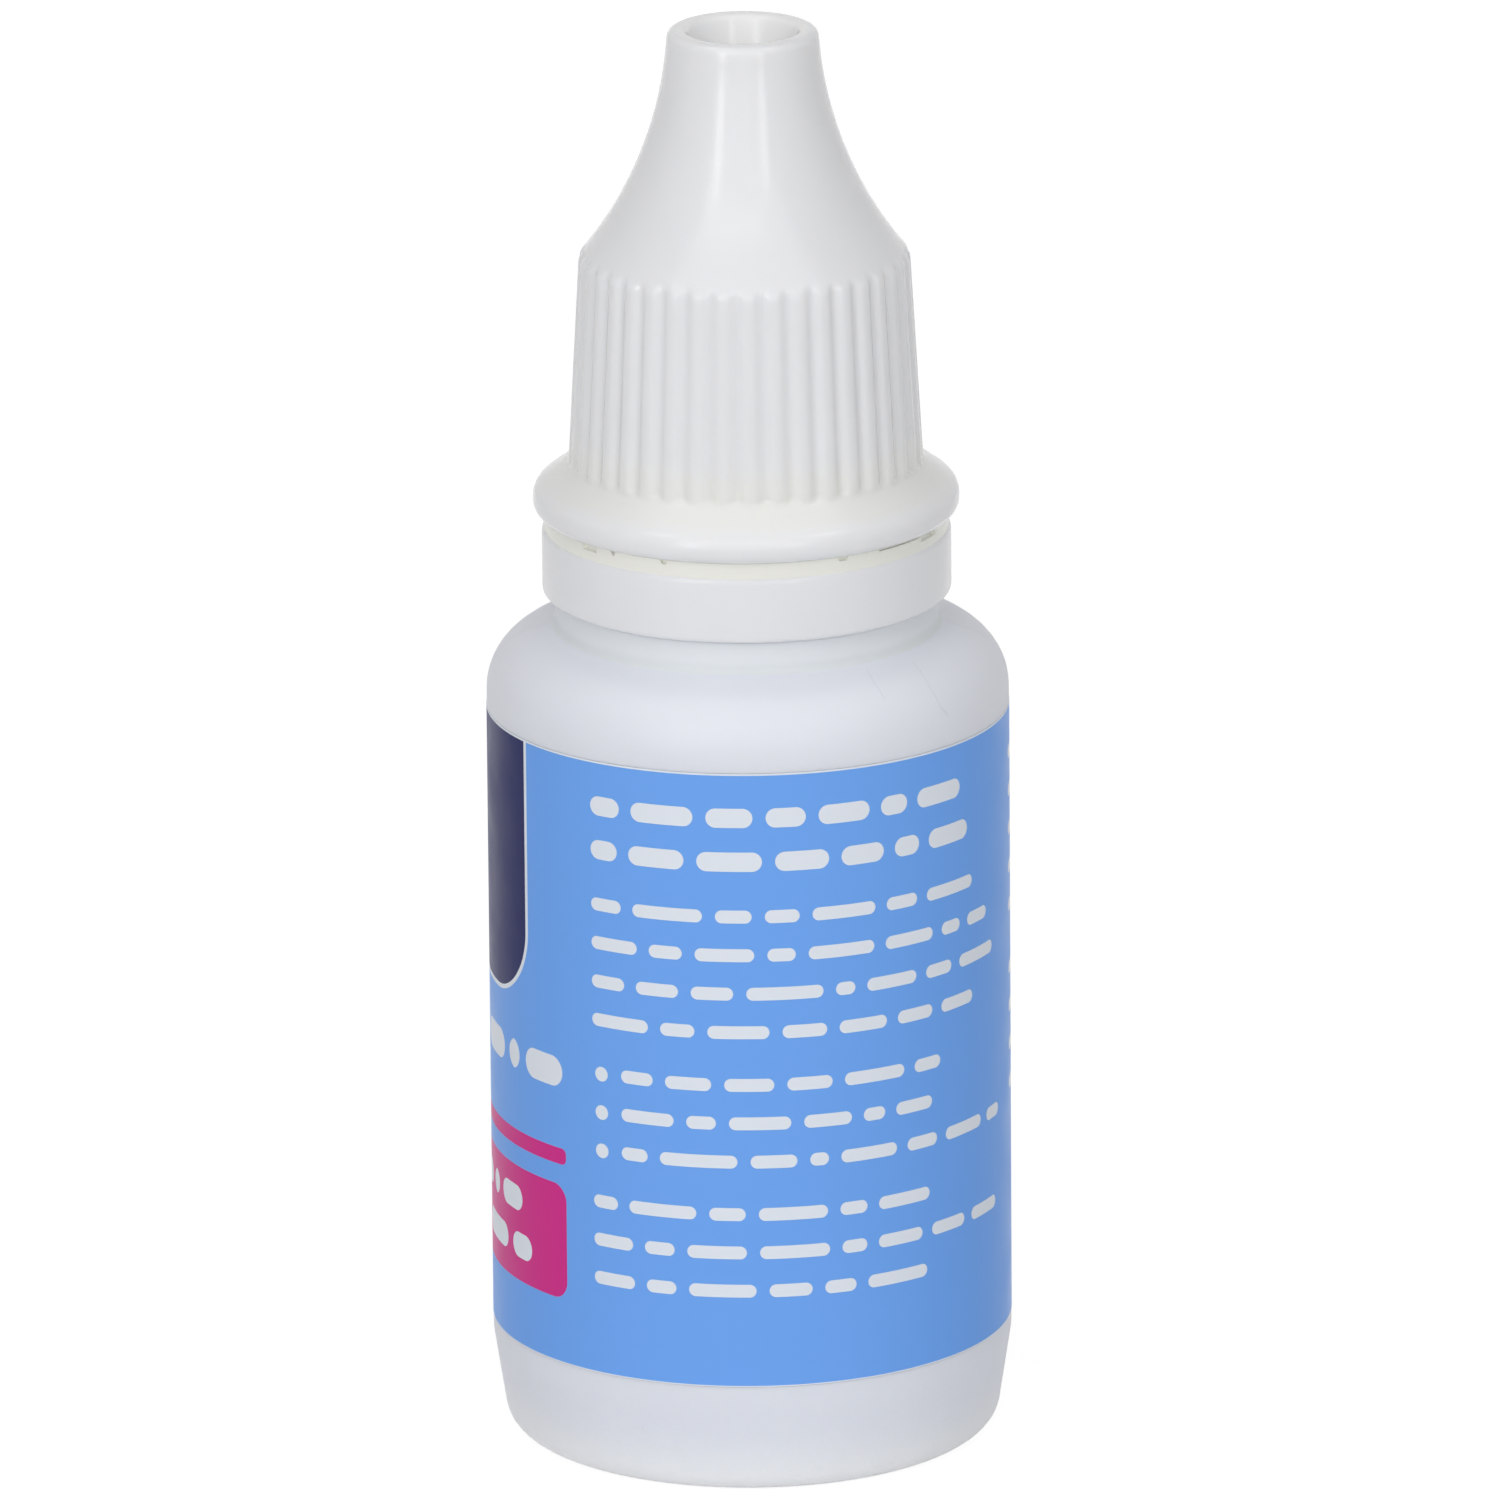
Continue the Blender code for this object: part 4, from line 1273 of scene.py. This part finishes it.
def add_floor(settings):
    """A wide pale disc that the camera sees as white, with the bottle's shadow on it."""
    mesh = bmesh.new()
    bmesh.ops.create_circle(mesh, cap_ends=True, segments=96, radius=3.0)
    finish = Finish("floor_pale")
    finish.set(Base_Color=(0.88, 0.88, 0.88, 1), Roughness=0.9)
    glow = finish.add("ShaderNodeEmission", values={"Color": (1, 1, 1, 1), "Strength": 1.19})
    share = seen_directly(finish) * settings.floor_lift
    plain = Field(finish, finish.shader.outputs["BSDF"])
    mixed = finish.add("ShaderNodeMixShader", values={0: share, 1: plain, 2: glow})
    finish.feed(finish.tree.nodes["Material Output"].inputs["Surface"], mixed)
    floor = add_mesh("floor", mesh, finish.material)


def add_sky(settings):
    """An even white sky that lights the scene weakly and is seen at full strength."""
    world = bpy.data.worlds.new("studio_sky")
    world.use_nodes = True
    nodes = Nodes(world.node_tree)
    background = world.node_tree.nodes["Background"]
    nodes.feed(background.inputs["Color"], (1, 1, 1, 1))
    nodes.feed(background.inputs["Strength"], seen_directly(nodes) * (1 - settings.sky) + settings.sky)
    bpy.context.scene.world = world


def add_camera(settings):
    """The photograph's camera. It looks a little higher than the aim point, by the pixels between them."""
    data = bpy.data.cameras.new("camera")
    data.sensor_width = SENSOR_WIDTH
    data.lens = settings.focal_pixels * SENSOR_WIDTH / FRAME_PIXELS
    data.clip_start = 0.01
    data.clip_end = 20
    camera = add_object("camera", data)
    away = settings.distance
    camera.location = (
        settings.side_shift,
        -away * cos(settings.elevation),
        settings.aim_height + away * sin(settings.elevation),
    )
    tilt = settings.elevation - settings.aim_drop / settings.focal_pixels
    facing = Euler((pi / 2 - tilt, 0, 0)).to_quaternion()
    camera.rotation_mode = "QUATERNION"
    camera.rotation_quaternion = facing @ Euler((0, 0, settings.roll)).to_quaternion()
    bpy.context.scene.camera = camera


class BOTTLE_OT_stage(bpy.types.Operator):
    """Build the camera, the lights, the sky and the floor"""

    bl_idname = "dropper.stage"
    bl_label = "Stage"

    def execute(self, context):
        settings = context.scene.dropper_bottle.stage
        context.scene.view_settings.view_transform = "Standard"
        add_camera(settings)
        add_sky(settings)
        add_floor(settings)
        add_lights(settings)
        return {"FINISHED"}


class BOTTLE_PT_sidebar(bpy.types.Panel):
    """Lists the pieces and their settings"""

    bl_idname = "BOTTLE_PT_sidebar"
    bl_label = "Dropper Bottle"
    bl_space_type = "VIEW_3D"
    bl_region_type = "UI"
    bl_category = "Bottle"

    def draw(self, context):
        settings = context.scene.dropper_bottle
        for group, operators in GROUPS:
            box = self.layout.box()
            values = getattr(settings, group)
            for name in values.bl_rna.properties.keys():
                if name not in ("rna_type", "name"):
                    box.prop(values, name)
            for operator in operators:
                box.operator(operator.bl_idname)


GROUPS = (
    ("bottle", (BOTTLE_OT_bottle, BOTTLE_OT_pinch_ridge, BOTTLE_OT_neck_thread)),
    ("insert", (BOTTLE_OT_insert,)),
    ("label", (BOTTLE_OT_label,)),
    ("ring", (BOTTLE_OT_tamper_ring,)),
    ("cap", (BOTTLE_OT_screw_cap,)),
    ("stage", (BOTTLE_OT_stage,)),
)
SETTINGS = (
    BottleSettings, InsertSettings, LabelSettings, RingSettings, CapSettings, StageSettings, DropperBottle,
)


def classes():
    return [*SETTINGS, *[operator for _, operators in GROUPS for operator in operators], BOTTLE_PT_sidebar]


def register():
    for kind in classes():
        bpy.utils.register_class(kind)
    bpy.types.Scene.dropper_bottle = bpy.props.PointerProperty(type=DropperBottle)


def unregister():
    del bpy.types.Scene.dropper_bottle
    for kind in reversed(classes()):
        bpy.utils.unregister_class(kind)


def main():
    register()
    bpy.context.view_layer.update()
    bpy.ops.dropper.bottle()
    bpy.ops.dropper.pinch_ridge()
    bpy.ops.dropper.neck_thread()
    bpy.ops.dropper.insert()
    bpy.ops.dropper.label()
    bpy.ops.dropper.tamper_ring()
    bpy.ops.dropper.screw_cap()
    bpy.ops.dropper.stage()


if __name__ == "__main__":
    main()
